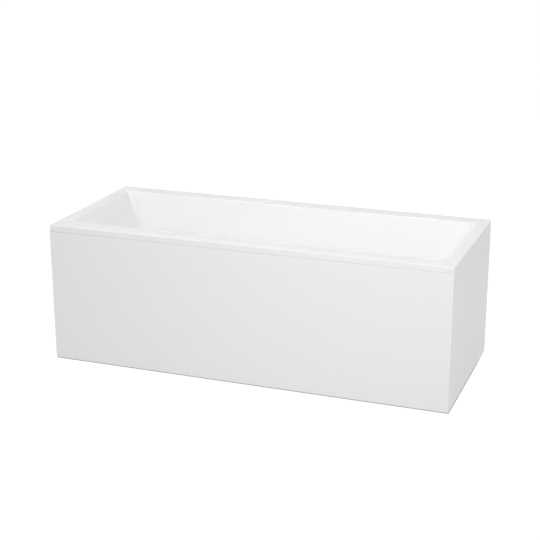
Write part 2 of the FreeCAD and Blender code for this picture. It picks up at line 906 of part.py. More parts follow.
def front_panel():
    body = new_body("front_panel")
    tray(body, "front", "-half_length", "seam_x - panel_seam", "-half_width", "panel_back",
         "toe_gap", "panel_top", Vector(0, 1, 0))
    pad(
        body, "corner_cover", "Z", "toe_gap", "panel_top - toe_gap",
        lambda sketch: rectangle(
            sketch, "seam_x - panel_seam - 1", "half_length", "-half_width", "panel_sheet - half_width"
        ),
    )
    at_top = level("panel_top")
    fillet(body, "front_top_round", "panel_edge",
           lambda box: at_top(box) and near(box.YMax, "-half_width"))
    fillet(body, "front_corner_round", "panel_edge",
           lambda box: near(box.XMin, "half_length") and near(box.YMax, "-half_width"))
    bores(body, "seam_screw_holes", "X", "seam_x - panel_seam - panel_sheet - 1", "panel_sheet + 2",
          seam_screw_places(), "screw_bore")
    node(body, "front_panel")


def end_panel():
    body = new_body("end_panel")
    flange = "(panel_back + panel_sheet)"
    tray(body, "end", "half_length - panel_depth", "half_length", flange, "half_width",
         "toe_gap", "end_panel_top", Vector(-1, 0, 0))
    seam = "panel_sheet + panel_seam - half_width"
    pad(
        body, "seam_cover", "Z", "toe_gap", "end_panel_top - toe_gap",
        lambda sketch: rectangle(sketch, "seam_x", "half_length", seam, f"{flange} + 1"),
    )
    bores(body, "blind_screw_holes", "X", "seam_x - 1", "panel_sheet",
          seam_screw_places() + tab_screw_places(), "screw_bore")
    node(body, "end_panel")


def front_clip_places():
    return [f"{place} * clip_x" for place in (-1, 0, 1)]


def front_clip_screws():
    return [(x, "clip_screw_y") for x in front_clip_places()]


def end_clip_places():
    return [f"{place} * clip_x / 3" for place in (-1, 1)]


def end_clip_screws():
    return [("end_clip_screw_x", y) for y in end_clip_places()]


def step_profile(root, leg, inward, tip, seat):
    """A bent strip seen from its end: its root under the batten, its tip under a flange's seat."""
    back = f"({leg} + {inward} * clip_sheet)"
    return [
        (root, "lip_bottom"), (root, "lip_bottom - clip_sheet"), (back, "lip_bottom - clip_sheet"),
        (back, f"{seat} - clip_sheet"), (tip, f"{seat} - clip_sheet"), (tip, seat),
        (leg, seat), (leg, "lip_bottom"),
    ]


def spring_clip(name, axis, centre, profile, hole):
    body = new_body(name)
    pad(body, name + "_strip", axis, f"{centre} - clip_width / 2", "clip_width",
        lambda sketch: outline(sketch, profile))
    bores(body, name + "_hole", "Z", "lip_bottom - clip_sheet - 1", "clip_sheet + 2", [hole], "screw_bore")
    node(body, name)


def panel_clips():
    """Spring strips under the battens that hold the top flanges of both panels."""
    front = step_profile("-batten_inner", "clip_leg", "1", "panel_back - clip_reach",
                         "(panel_top - panel_sheet)")
    for index, (x, hole) in enumerate(zip(front_clip_places(), front_clip_screws()), start=1):
        spring_clip(f"front_panel_clip_{index}", "X", x, front, hole)
    end = step_profile("end_batten_inner", "end_clip_leg", "-1",
                       "half_length - panel_depth + clip_reach", "(end_panel_top - panel_sheet)")
    for index, (y, hole) in enumerate(zip(end_clip_places(), end_clip_screws()), start=1):
        spring_clip(f"end_panel_clip_{index}", "Y", y, end, hole)


def panel_bracket(name, side):
    """A strip from inside a rail's front end down to the front panel's bottom flange."""
    body = new_body(name)
    thin, low = "bracket_sheet", "(toe_gap + panel_sheet)"
    leg, tip = "(panel_back + bracket_sheet)", "(panel_back - clip_reach)"
    profile = [
        ("bracket_screw_y + rail_width / 4", "rail_web"), (f"{leg} - {thin}", "rail_web"),
        (f"{leg} - {thin}", f"{low} + {thin}"), (tip, f"{low} + {thin}"), (tip, low),
        (leg, low), (leg, f"rail_web - {thin}"),
        ("bracket_screw_y + rail_width / 4", f"rail_web - {thin}"),
    ]
    width = "(rail_width - 4 * rail_sheet)"
    pad(body, name + "_strip", "X", f"-{width} / 2", width, lambda sketch: outline(sketch, profile))
    bores(body, name + "_hole", "Z", f"rail_web - {thin} - 1", f"{thin} + 2",
          [("0", "bracket_screw_y")], "screw_bore")
    move(body, x=f"{side} * rail_x")
    node(body, name)


def end_panel_stay():
    """A flat bar under the floor board that steadies the end panel low down."""
    body = new_body("end_panel_stay")
    under = "board_under - stay_sheet"
    profile = [
        ("stay_start", "board_under"), ("stay_start", under), ("seam_x - stay_sheet", under),
        ("seam_x - stay_sheet", "board_under - stay_drop"), ("seam_x", "board_under - stay_drop"),
        ("seam_x", "board_under"),
    ]
    pad(body, "stay_bar", "Y", "stay_y - stay_width / 2", "stay_width",
        lambda sketch: outline(sketch, profile))
    fillet(body, "stay_bend", "stay_sheet",
           lambda box: near(box.XMin, "seam_x") and near(box.ZMin, "board_under"))
    bores(body, "stay_board_holes", "Z", f"{under} - 1", "stay_sheet + 2", stay_screws(), "screw_bore")
    bores(body, "stay_tab_holes", "X", "seam_x - stay_sheet - 1", "stay_sheet + 2",
          tab_screw_places(), "screw_bore")
    node(body, "end_panel_stay")


def bracket_places():
    return [f"{side} * bracket_x" for side in (-1, 1)]


def wall_bracket_screws():
    return [(x, "batten_inner + batten_width / 2") for x in bracket_places()]


def wall_bracket(name, x, screw_place):
    """An angle under the back rim, with a hole for a screw into the wall."""
    body = new_body(name)
    inner, face = "half_width - bracket_reach", "half_width - bracket_sheet"
    profile = [
        (inner, "lip_bottom"), (inner, "lip_bottom - bracket_sheet"),
        (face, "lip_bottom - bracket_sheet"), (face, "lip_bottom - bracket_drop"),
        ("half_width", "lip_bottom - bracket_drop"), ("half_width", "lip_bottom"),
    ]
    pad(body, name + "_angle", "X", f"{x} - bracket_width / 2", "bracket_width",
        lambda sketch: outline(sketch, profile))
    bores(body, name + "_wall_hole", "Y", f"{face} - 1", "bracket_sheet + 2",
          [(x, "lip_bottom - bracket_hole_drop")], "bracket_hole")
    bores(body, name + "_rim_hole", "Z", "lip_bottom - bracket_sheet - 1", "bracket_sheet + 2",
          [screw_place], "screw_bore")
    node(body, name)


def frame_screws():
    brackets = [(f"{side} * rail_x", "bracket_screw_y", "rail_web - bracket_sheet") for side in (-1, 1)]
    upright_screws("frame_screws", board_screws() + brackets)
    clips = [(x, y, "lip_bottom - clip_sheet") for x, y in front_clip_screws() + end_clip_screws()]
    upright_screws("clip_screws", clips)
    walls = [(x, y, "lip_bottom - bracket_sheet") for x, y in wall_bracket_screws()]
    upright_screws("wall_bracket_screws", walls)
    seam = [("seam_x - panel_seam - panel_sheet", y, z, "2 * panel_sheet - 1")
            for y, z in seam_screw_places()]
    tab = [("seam_x - stay_sheet", y, z, "panel_sheet + stay_sheet - 1.5")
           for y, z in tab_screw_places()]
    side_screws("panel_screws", seam + tab)


# ---- pop-up waste ---------------------------------------------------------------------


def ring(name, inner, outer, low, high):
    body = new_body(name)
    revolve(body, name + "_ring", [(inner, low), (outer, low), (outer, high), (inner, high)])
    return node(body, name)


def drain_flange():
    """The bright flange in the recess, whose threaded tail carries a cross to guide the stem."""
    body = new_body("drain_flange")
    revolve(body, "flange_and_tail", [
        ("tail_bore", "tail_bottom"), ("tail_radius", "tail_bottom"), ("tail_radius", "flange_under"),
        ("flange_radius", "flange_under"), ("flange_radius", "flange_top - flange_thickness / 2"),
        ("flange_radius - flange_thickness / 2", "flange_top"), ("tail_radius", "flange_top"),
        ("tail_bore", "flange_top - tail_wall"),
    ])
    hub = "(stem_bore + 3)"
    spoke = pad(
        body, "spoke", "Z", "tail_bottom", "guide_height",
        lambda sketch: rectangle(sketch, f"{hub} - 1", "tail_bore + tail_wall / 2", "-1", "1"),
    )
    polar(body, "spokes", spoke, 4)
    pad(body, "hub", "Z", "tail_bottom", "guide_height", lambda sketch: circle(sketch, "0", "0", hub))
    bores(body, "stem_guide", "Z", "tail_bottom - 1", "guide_height + 2", [("0", "0")], "stem_bore")
    return node(body, "drain_flange")


def drain_plug():
    body = new_body("drain_plug")
    top = "plug_under + plug_thickness"
    revolve(body, "plug_cap", [
        ("0", "stem_top"), ("stem_bore", "stem_top"), ("stem_bore", "plug_under - plug_boss"),
        ("plug_boss", "plug_under - plug_boss"), ("plug_boss", "plug_under"),
        ("plug_radius", "plug_under"), ("plug_radius", top), ("0", top),
    ])
    fillet(body, "plug_crown", "plug_thickness - 1", level(top))
    return node(body, "drain_plug")


def plug_seal():
    """The rubber ring under the cap, whose bevel follows the seat of the flange."""
    body = new_body("plug_seal")
    inner, rim = "plug_boss + 0.05", "tail_radius - seal_relief"
    revolve(body, "seal_ring", [
        (inner, "flange_top - 2"), (f"{rim} - 1.7", "flange_top - 2"), (rim, "flange_top - 0.3"),
        (rim, "plug_under"), (inner, "plug_under"),
    ])
    return node(body, "plug_seal")


def plug_stem():
    """The stem under the plug, with the collar that stops its rise below the guide."""
    body = new_body("plug_stem")
    collar = "(tail_bottom - plug_lift - 0.5)"
    foot = f"{collar} - 3 - 2 * stem_radius"
    revolve(body, "stem_rod", [
        ("0", foot), ("stem_radius - 0.5", foot), ("stem_radius", f"{foot} + 0.5"),
        ("stem_radius", f"{collar} - 3"), ("stem_radius + 2.5", f"{collar} - 3"),
        ("stem_radius + 2.5", collar), ("stem_radius", collar), ("stem_radius", "stem_top"),
        ("0", "stem_top"),
    ])
    return node(body, "plug_stem")


def waste_body():
    """The cup under the tub that the flange screws into, with a port for the overflow hose."""
    body = new_body("waste_body")
    socket, inside = "tail_radius + screw_clearance", "waste_radius - 6"
    revolve(body, "waste_cup", [
        ("recess_radius - 2", "waste_top"), ("recess_radius - 2", "waste_top - 5"),
        ("waste_radius", "waste_top - 5"), ("waste_radius", "waste_bottom + 4"),
        ("neck_radius", "waste_bottom"), ("neck_radius", "neck_bottom"),
        ("neck_bore", "neck_bottom"), ("neck_bore", "waste_bottom"),
        (inside, "waste_bottom + 6"), (inside, "tail_bottom - 2"), (socket, "tail_bottom - 2"),
        (socket, "waste_top"),
    ])
    pad(body, "hose_port", "X", "waste_radius - 5", "port_end - waste_radius + 5",
        lambda sketch: circle(sketch, "0", "port_z", "nozzle_radius"))
    bores(body, "hose_port_bore", "X", "waste_radius - 10", "port_end - waste_radius + 11",
          [("0", "port_z")], "hose_bore")
    pad(body, "cable_gland", "Y", "-gland_end", "gland_end - waste_radius + 4",
        lambda sketch: circle(sketch, "0", "cable_z", "cable_radius + 2.5"))
    bores(body, "cable_gland_bore", "Y", "-gland_end - 1", "gland_end - waste_radius + 1",
          [("0", "cable_z")], "cable_bore")
    return node(body, "waste_body")


def scallops(body, name, radius, cut, low, height, copies):
    """Finger grips cut evenly round a knob or a nut."""
    first = pocket(body, name + "_first", "Z", f"{low} - 1", f"{height} + 2",
                   lambda sketch: circle(sketch, f"{radius} + {cut} / 2", "0", cut))
    polar(body, name, first, copies)


def waste_outlet():
    """The straight pipe to the wall, with a bead that stops the coupling pushed over its end."""
    body = new_body("waste_outlet")
    bead = "(outlet_end - spigot_length)"
    inside, outside = "outlet_radius - outlet_wall", "outlet_radius"
    revolve(body, "outlet_pipe", [
        (inside, "trap_end"), (outside, "trap_end"), (outside, f"{bead} - 2 * stop_bead"),
        (f"{outside} + stop_bead", f"{bead} - stop_bead"), (f"{outside} + stop_bead", bead),
        (outside, bead), (outside, "outlet_end"), (inside, "outlet_end"),
    ])
    return node(body, "waste_outlet")


def trap():
    """The tubular trap, bent down, up and back, and its two slip nuts and outlet pipe."""
    body = new_body("trap_body")
    spine = new_sketch(body, "YZ_Plane", "trap_path")
    track(spine, ("0", "neck_bottom"), [
        ("0", "bend_start", None, None),
        ("bend_radius", "bend_start - bend_radius", "bend_radius", "left"),
        ("2 * bend_radius", "bend_start", "bend_radius", "left"),
        ("3 * bend_radius", "outlet_z", "bend_radius", "right"),
        ("trap_end", "outlet_z", None, None),
    ])
    mouth = new_sketch(body, "XY_Plane", "trap_mouth", "neck_bottom")
    circle(mouth, "0", "0", "pipe_radius")
    circle(mouth, "0", "0", "pipe_bore")
    pipe = body.newObject("PartDesign::AdditivePipe", "trap_pipe")
    pipe.Profile = mouth
    pipe.Spine = spine

    def collar(sketch):
        circle(sketch, "0", "0", "neck_radius - 0.4")
        circle(sketch, "0", "0", "pipe_bore")

    pad(body, "trap_collar", "Z", "neck_bottom - collar_height", "collar_height", collar)
    node(body, "trap_body")

    inlet = new_body("trap_inlet_nut")
    seat, low, high = "neck_bottom - collar_height", "neck_bottom - collar_height - 4", "neck_bottom + 12"
    thread = "neck_radius + screw_clearance"
    revolve(inlet, "inlet_nut_turned", [
        ("pipe_radius + 0.2", low), ("trap_nut_radius", low), ("trap_nut_radius", high),
        (thread, high), (thread, seat), ("pipe_radius + 0.2", seat),
    ])
    scallops(inlet, "inlet_nut_grips", "trap_nut_radius", "nut_scallop", low, f"{high} - ({low})", 12)
    node(inlet, "trap_inlet_nut")

    outlet = new_body("trap_outlet_nut")
    low, high = "trap_end - 12", "trap_end + 14"
    revolve(outlet, "outlet_nut_turned", [
        ("pipe_radius + 0.2", low), ("trap_nut_radius - 2", low), ("trap_nut_radius - 2", high),
        ("outlet_radius + 0.2", high), ("outlet_radius + 0.2", "trap_end"),
        ("pipe_radius + 0.2", "trap_end"),
    ])
    scallops(outlet, "outlet_nut_grips", "trap_nut_radius - 2", "nut_scallop", low, "26", 12)
    node(outlet, "trap_outlet_nut")

    spigot = waste_outlet()
    for item in (outlet, spigot):
        turn(item, Vector(-1, 0, 0), "90")
        move(item, "drain_x", "0", "outlet_z")
    for item in (body, inlet):
        move(item, "drain_x")


def waste_kit():
    ring("drain_gasket", "drain_hole + 1", "flange_radius - 0.5", "recess_floor", "flange_under")
    ring("waste_seal", "drain_hole + 1", "recess_radius - 2", "waste_top", "boss_under")
    for item in (drain_flange(), drain_plug(), plug_seal(), plug_stem(), waste_body()):
        move(item, "drain_x")
    for name in ("drain_gasket", "waste_seal"):
        move(nodes[name], "drain_x")


# ---- overflow -------------------------------------------------------------------------


def stand_on_wall(item):
    """Set a piece square to the foot end wall, its Z axis pointing into the basin."""
    turn(item, Vector(0, -1, 0), "90 - foot_end_angle")
    move(item, "overflow_x", "0", "overflow_z")


def overflow_body():
    """The cup behind the wall: a neck through the wall, a hose nozzle and a hub for the spindle."""
    body = new_body("overflow_body")
    brim = "cup_front - cup_wall"
    revolve(body, "overflow_cup", [
        ("0", "cup_end"), ("cup_radius", "cup_end"), ("cup_radius", brim), ("cup_radius + 6", brim),
        ("cup_radius + 6", "cup_front"), ("overflow_neck", "cup_front"), ("overflow_neck", "-1"),
        ("overflow_neck - 2.5", "-1"), ("overflow_neck - 2.5", brim), ("cup_radius - cup_wall", brim),
        ("cup_radius - cup_wall", "cup_back"), ("spindle_bore + 3", "cup_back"),
        ("spindle_bore + 3", "cup_back + 9"), ("spindle_bore", "cup_back + 9"),
        ("spindle_bore", "cup_back + 1"), ("0", "cup_back + 1"),
    ])
    pad(body, "hose_nozzle", "X", "-nozzle_length", "nozzle_length - cup_radius + 5",
        lambda sketch: circle(sketch, "0", "-nozzle_setback", "nozzle_radius"))
    bores(body, "hose_nozzle_bore", "X", "-nozzle_length - 1", "nozzle_length - cup_radius + 11",
          [("0", "-nozzle_setback")], "hose_bore")
    pad(body, "cable_port", "X", "-cable_port_end", "cable_port_end - cup_radius / 3",
        lambda sketch: circle(sketch, "-cable_offset", "-nozzle_setback", "cable_radius + 2.5"))
    bores(body, "cable_port_bore", "X", "-cable_port_end - 1", "cable_grip + 1",
          [("-cable_offset", "-nozzle_setback")], "cable_bore")
    return node(body, "overflow_body")


def overflow_plate():
    """The bright plate round the spindle, dished and pierced for the water."""
    body = new_body("overflow_plate")
    bore = "spindle_bore + 3"
    revolve(body, "plate_dish", [
        (bore, "plate_face - 2.5"), ("plate_radius - 3", "plate_face - 2.5"), ("plate_radius - 3", "0"),
        ("plate_radius", "0"), ("plate_radius", "plate_face - 1.5"),
        ("plate_radius - 1.5", "plate_face"), (bore, "plate_face"),
    ])
    first = pocket(body, "water_hole", "Z", "0", "plate_face + 1",
                   lambda sketch: circle(sketch, "plate_radius / 2 + 2", "0", "water_hole"))
    polar(body, "water_holes", first, 8)
    return node(body, "overflow_plate")


def overflow_knob():
    body = new_body("overflow_knob")
    back, face = "plate_face + 4", "plate_face + 4 + knob_thickness"
    revolve(body, "knob_disc", [
        ("0", face), ("knob_radius", face), ("knob_radius", back), ("spindle_bore + 5", back),
        ("spindle_bore + 5", "plate_face + 0.4"), ("spindle_bore", "plate_face + 0.4"),
        ("spindle_bore", "spindle_top"), ("0", "spindle_top"),
    ])
    fillet(body, "knob_crown", "knob_thickness / 3", level(face))
    scallops(body, "knob_grips", "knob_radius", "knob_scallop", back, "knob_thickness", 10)
    return node(body, "overflow_knob")


def knob_spindle():
    """The spindle that the knob turns, with the drum that pulls the cable."""
    body = new_body("knob_spindle")
    low, drum = "cup_back + 1.2", "spindle_radius + 6"
    revolve(body, "spindle_rod", [
        ("0", low), ("spindle_radius", low), ("spindle_radius", "-nozzle_setback - 3"),
        (drum, "-nozzle_setback - 3"), (drum, "3 - nozzle_setback"),
        ("spindle_radius", "3 - nozzle_setback"), ("spindle_radius", "spindle_top"),
        ("0", "spindle_top"),
    ])
    return node(body, "knob_spindle")


def overflow_hose():
    """The hose from the waste cup's port, up behind the foot end wall to the overflow nozzle."""
    body = new_body("overflow_hose")
    spine = new_sketch(body, "XZ_Plane", "hose_path")
    track(spine, ("drain_x + port_end", "port_z"), [
        ("hose_turn_x - hose_reach", "port_z", None, None),
        ("hose_turn_x + hose_reach * sin(foot_end_angle)", "port_z + hose_reach * cos(foot_end_angle)",
         "hose_bend", "left"),
        ("nozzle_x", "nozzle_z", None, None),
    ])
    mouth = new_sketch(body, "YZ_Plane", "hose_mouth", "drain_x + port_end")
    circle(mouth, "0", "port_z", "hose_radius")
    circle(mouth, "0", "port_z", "hose_bore")
    pipe = body.newObject("PartDesign::AdditivePipe", "hose_pipe")
    pipe.Profile = mouth
    pipe.Spine = spine
    node(body, "overflow_hose")


def hose_nut(name, end, height):
    """A hexagonal slip nut round a joint of the hose, along the body's X axis."""
    body = new_body(name)
    low, length = f"{end} - hose_nut_length / 2", "hose_nut_length"
    pad(body, name + "_block", "X", low, length,
        lambda sketch: hexagon(sketch, "2 * hose_nut_radius", "0", height))
    bores(body, name + "_bore", "X", f"{low} - 1", f"{length} + 2", [("0", height)],
          "nozzle_radius + screw_clearance")
    return node(body, name)


def rounded_route(points):
    """A wire of straight runs joined by arcs as large as the runs allow."""
    pieces = []
    start = points[0]
    for before, corner, after in zip(points, points[1:], points[2:]):
        into, out = corner - before, after - corner
        reach = 0.45 * min(into.Length, out.Length)
        first = corner - into.normalize() * reach
        last = corner + out.normalize() * reach
        half_turn = into.getAngle(out) / 2
        middle_way = (out - into).normalize()
        radius = reach / math.tan(half_turn)
        middle = corner + middle_way * (radius / math.cos(half_turn) - radius)
        pieces += [Part.LineSegment(start, first).toShape(), Part.Arc(first, middle, last).toShape()]
        start = last
    pieces.append(Part.LineSegment(start, points[-1]).toShape())
    return Part.Wire(pieces)


def bowden_cable():
    """The cable from the overflow's drum to the waste, clear of the hose all the way.

    Its route is given in steps from either end, as parts of its drop."""
    lean = math.radians(number("foot_end_angle"))
    down_wall = Vector(-math.sin(lean), 0, -math.cos(lean))
    off_wall = Vector(math.cos(lean), 0, -math.sin(lean))
    middle = Vector(number("overflow_x"), -number("cable_offset"), number("overflow_z"))
    start = middle + down_wall * number("cable_port_end - cable_grip") + off_wall * number("nozzle_setback")
    end = Vector(number("drain_x"), -number("waste_radius + 1"), number("cable_z"))
    drop = start.z - end.z
    hung = [(-0.067, -0.012, -0.403), (-0.099, -0.032, -0.6), (-0.133, -0.07, -0.777)]
    laid = [(0.365, -0.128, 0.023), (0.203, -0.168, -0.023), (0.07, -0.151, -0.0145), (0, -0.087, 0)]
    points = [start, start + down_wall * (0.203 * drop)]
    points += [start + Vector(*step) * drop for step in hung]
    points += [end + Vector(*step) * drop for step in laid] + [end]
    route = rounded_route(points)
    heading = points[1] - points[0]
    mouth = Part.Wire(Part.Circle(start, heading, number("cable_radius")).toShape())
    cable = doc.addObject("Part::Feature", "bowden_cable")
    cable.Shape = route.makePipeShell([mouth], True, True)
    cable.Placement = Placement()
    node(cable, "bowden_cable")


def overflow_kit():
    ring("overflow_gasket", "overflow_hole + 0.5", "cup_radius + 5", "cup_front", "-shell_wall")
    upper = hose_nut("hose_nut_upper", "-nozzle_length", "-nozzle_setback")
    for item in (nodes["overflow_gasket"], overflow_body(), overflow_plate(), overflow_knob(),
                 knob_spindle(), upper):
        stand_on_wall(item)
    overflow_hose()
    move(hose_nut("hose_nut_lower", "port_end", "port_z"), "drain_x")
    bowden_cable()


# ---- the whole tub --------------------------------------------------------------------

tub_shell()
floor_board()
rim_battens()
cradle_rail("cradle_rail_head", -1)
cradle_rail("cradle_rail_foot", 1)
centre_leg_bracket()
levelling_feet()
front_panel()
end_panel()
panel_clips()
panel_bracket("panel_bracket_head", -1)
panel_bracket("panel_bracket_foot", 1)
end_panel_stay()
for side, (x, screw_place) in enumerate(zip(bracket_places(), wall_bracket_screws()), start=1):
    wall_bracket(f"wall_bracket_{side}", x, screw_place)
frame_screws()
waste_kit()
trap()
overflow_kit()
doc.recompute()

failed = [item.Name for item in doc.Objects if {"Invalid", "Error"} & set(item.State)]
failed += [name for name, item in nodes.items() if item.Shape.isNull() or not item.Shape.isValid()]
if failed:
    raise RuntimeError(f"these failed: {failed}")

os.makedirs("parts", exist_ok=True)
for name, item in nodes.items():
    item.Shape.exportStep(f"parts/{name}.step")
print(len(nodes), "pieces")
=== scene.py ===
"""Looks for the panelled acrylic bathtub: finishes, small hardware, floor, light and camera."""

import json
import math

import bmesh
import bpy
from mathutils import Matrix, Vector

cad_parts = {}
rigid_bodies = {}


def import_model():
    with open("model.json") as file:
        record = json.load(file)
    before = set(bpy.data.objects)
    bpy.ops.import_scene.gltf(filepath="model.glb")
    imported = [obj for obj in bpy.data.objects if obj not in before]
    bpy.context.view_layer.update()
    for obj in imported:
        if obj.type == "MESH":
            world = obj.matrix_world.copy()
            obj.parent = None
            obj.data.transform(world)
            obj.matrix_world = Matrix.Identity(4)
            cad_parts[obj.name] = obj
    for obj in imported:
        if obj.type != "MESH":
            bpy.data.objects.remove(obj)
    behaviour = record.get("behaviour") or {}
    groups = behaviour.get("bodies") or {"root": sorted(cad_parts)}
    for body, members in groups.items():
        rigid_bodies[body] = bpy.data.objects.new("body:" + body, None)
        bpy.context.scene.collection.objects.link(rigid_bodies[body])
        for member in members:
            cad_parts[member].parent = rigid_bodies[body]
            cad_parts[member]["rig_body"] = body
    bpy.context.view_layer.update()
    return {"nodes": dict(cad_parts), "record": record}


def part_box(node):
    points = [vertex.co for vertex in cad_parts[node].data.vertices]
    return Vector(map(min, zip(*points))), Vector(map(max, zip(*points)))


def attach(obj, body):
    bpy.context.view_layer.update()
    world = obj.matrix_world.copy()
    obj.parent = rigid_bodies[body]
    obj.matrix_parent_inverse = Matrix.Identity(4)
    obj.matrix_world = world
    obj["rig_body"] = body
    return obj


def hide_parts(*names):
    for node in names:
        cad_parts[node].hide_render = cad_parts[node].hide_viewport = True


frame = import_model()
NODES = frame["nodes"]
MM = 0.001


# ---- numbers --------------------------------------------------------------------------

# azimuth, elevation and roll of the camera in degrees, the point it looks at in mm, its distance from
# that point in m, and its lens
CAMERA_TURN = (20.4265, 17.8836, -0.1405)
CAMERA_AIM = (-7.18, 0, 380.61)
CAMERA_DISTANCE = 5.32343
CAMERA_LENS = 84.319

# half the floor's width in m
FLOOR_REACH = 120
# strengths of the floor and of the backdrop as the eye sees them, and of the floor as a light
FLOOR_WHITE = 0.86
BACKDROP = 1.0
FLOOR_GLOW = 0.55
# painted shadow: where the floor's glow goes dark under the tub, step by step: slowly under the open sides,
# but not under the front panel, and at once behind both panels. Each step says how it joins those before
# it, its axis, the place where the floor is all lit and the place where it is all dark
UNDER_TUB_PAINTED_SHADOW = [
    ("MAXIMUM", "X", -0.85, -0.6), ("MAXIMUM", "Y", 0.35, 0.1), ("MULTIPLY", "Y", -0.30, -0.338),
    ("MAXIMUM", "X", 0.8502, 0.8492), ("MAXIMUM", "Y", -0.348, -0.340), ("MAXIMUM", "X", -0.855, -0.851),
]
# strength of the sky towards +X, +Y and straight up, then towards -X, -Y and straight down
SKY = ((0.50, 0.58, 0.57), (0.95, 0.42, 0.0))
# the bright band low behind the tub: its strength, and on each axis of its direction the place where it
# starts and the place where it is full
HORIZON = 2.0
HORIZON_SIDES = (("Z", 0.18, 0.12), ("Y", 0.2, 0.7))
# name, place, aim, width and height, beam in degrees, watts, and whether glossy surfaces mirror it
SOFTBOXES = [
    ("right_top_box", (0.45, 0.2, 2.6), (0.5, 0.1, 0.5), (0.5, 0.8), 180, 6, True),
    ("front_box", (1.1, -2.3, 1.9), (0.5, -0.35, 0.35), (1.8, 0.8), 120, 8.6, False),
    ("wall_beam", (-0.02, -2.6, 2.3), (-0.02, 0.26, 0.52), (1.9, 0.1), 12, 0.42, False),
    ("edge_strip", (-0.9, -0.9, 2.7), (-0.4, -0.3, 0.5), (2.8, 0.9), 180, 12, True),
]

# faces of the shell past these places in m are the outside of its lip, and faces whose normal rises more
# than this are seen from above
LIP_X = 0.8449
LIP_Y = 0.3449
RISING = 0.02

# pan-head screws: shank radius, length of the pointed tip, head radius and height, and the length and
# width of each arm of the cross as shares of the head radius
SHANK_RADIUS = 2 * MM
TIP_LENGTH = 2 * MM
HEAD_RADIUS = 4 * MM
HEAD_HEIGHT = 2.4 * MM
CROSS_LENGTH = 0.62
CROSS_WIDTH = 0.15

# leg nuts: width over the flats, height, bore radius, width and depth of the lead into the bore, and the
# sides of the mesh
NUT_WIDTH = 19 * MM
NUT_HEIGHT = 10 * MM
NUT_BORE = 6.15 * MM
NUT_LEAD_WIDTH = 0.8 * MM
NUT_LEAD_DEPTH = 0.7 * MM
NUT_SIDES = 48

# M12 studs: radius over the thread, its pitch, and its depth as a share of the pitch
STUD_RADIUS = 6 * MM
STUD_PITCH = 1.75 * MM
THREAD_DEPTH = 0.34

# overflow hose: radius over its rings, their depth and pitch, rows of mesh to a ring, and its route in mm
HOSE_RADIUS = 13 * MM
HOSE_DEPTH = 1.6 * MM
HOSE_PITCH = 5.5 * MM
HOSE_ROWS = 6.0
HOSE_ROUTE = [
    (648, 0, 114), (716, 0, 114), (752, 0, 114), (767, 0, 114), (772, 0, 150), (779, 0, 200),
    (814.6, 0, 453),
]

# foam strip: how far its face and its back stand behind the front panel's face, how hollow its face is,
# and how far its two ends stand in from the panel's
STRIP_FACE = 2.5 * MM
STRIP_BACK = 4.6 * MM
STRIP_HOLLOW = 0.5 * MM
STRIP_INSETS = (2 * MM, 0.5 * MM)


# ---- camera ---------------------------------------------------------------------------


def photograph_camera():
    """The camera that the rim's four corners and the panels' three bottom corners fit."""
    azimuth, elevation, roll = (math.radians(angle) for angle in CAMERA_TURN)
    level = math.cos(elevation)
    back = Vector((math.sin(azimuth) * level, -math.cos(azimuth) * level, math.sin(elevation)))
    right = Vector((0, 0, 1)).cross(back).normalized()
    up = back.cross(right)
    across = right * math.cos(roll) + up * math.sin(roll)
    upward = up * math.cos(roll) - right * math.sin(roll)
    place = Vector(CAMERA_AIM) * MM + back * CAMERA_DISTANCE
    data = bpy.data.cameras.new("camera")
    data.sensor_width = 36
    data.lens = CAMERA_LENS
    data.clip_start = 0.1
    data.clip_end = 400
    camera = new_object("camera", data)
    camera.matrix_world = Matrix.Translation(place) @ Matrix((across, upward, back)).transposed().to_4x4()
    bpy.context.scene.camera = camera


# ---- helpers --------------------------------------------------------------------------


def new_object(name, data):
    """An object with this data, in the scene."""
    thing = bpy.data.objects.new(name, data)
    bpy.context.scene.collection.objects.link(thing)
    return thing


def linear(code):
    """A hex colour as it looks on screen, turned to the linear RGBA that shaders take."""
    parts = [int(code[i:i + 2], 16) / 255 for i in (1, 3, 5)]
    return tuple(c / 12.92 if c <= 0.04045 else ((c + 0.055) / 1.055) ** 2.4 for c in parts) + (1.0,)


def add(tree, kind, wires=None, **settings):
    """Add one node to a tree, with its settings, and its inputs as values or as sockets to link."""
    node = tree.nodes.new(kind)
    for key, value in settings.items():
        setattr(node, key, value)
    for key, value in (wires or {}).items():
        if isinstance(value, bpy.types.NodeSocket):
            tree.links.new(value, node.inputs[key])
        else:
            node.inputs[key].default_value = value
    return node


def ramp(tree, factor, stops):
    """A colour ramp from (place, hex colour) stops."""
    node = add(tree, "ShaderNodeValToRGB", {"Fac": factor})
    first, last = node.color_ramp.elements[0], node.color_ramp.elements[1]
    elements = [first, last] + [node.color_ramp.elements.new(0.5) for _ in stops[2:]]
    for element, (place, code) in zip(elements, stops):
        element.position = place
        element.color = linear(code)
    return node.outputs["Color"]


def finish(name, code, roughness, **sockets):
    """A material with one plain shader, and the object coordinates that its patterns read."""
    material = bpy.data.materials.new(name)
    material.use_nodes = True
    tree = material.node_tree
    shader = tree.nodes["Principled BSDF"]
    values = {"Base Color": linear(code), "Roughness": roughness, **sockets}
    for key, value in values.items():
        shader.inputs[key].default_value = value
    place = add(tree, "ShaderNodeTexCoord").outputs["Object"]
    return material, tree, shader, place


def grain(tree, place, size_mm, detail=2.0, roughness=0.5, stretch=(1, 1, 1)):
    """Noise whose lumps are size_mm across, stretched along an axis where a real grain is."""
    run = add(tree, "ShaderNodeMapping", {"Vector": place, "Scale": stretch})
    return add(tree, "ShaderNodeTexNoise", {
        "Vector": run.outputs["Vector"], "Scale": 1 / (size_mm * MM), "Detail": detail,
        "Roughness": roughness,
    }).outputs["Fac"]


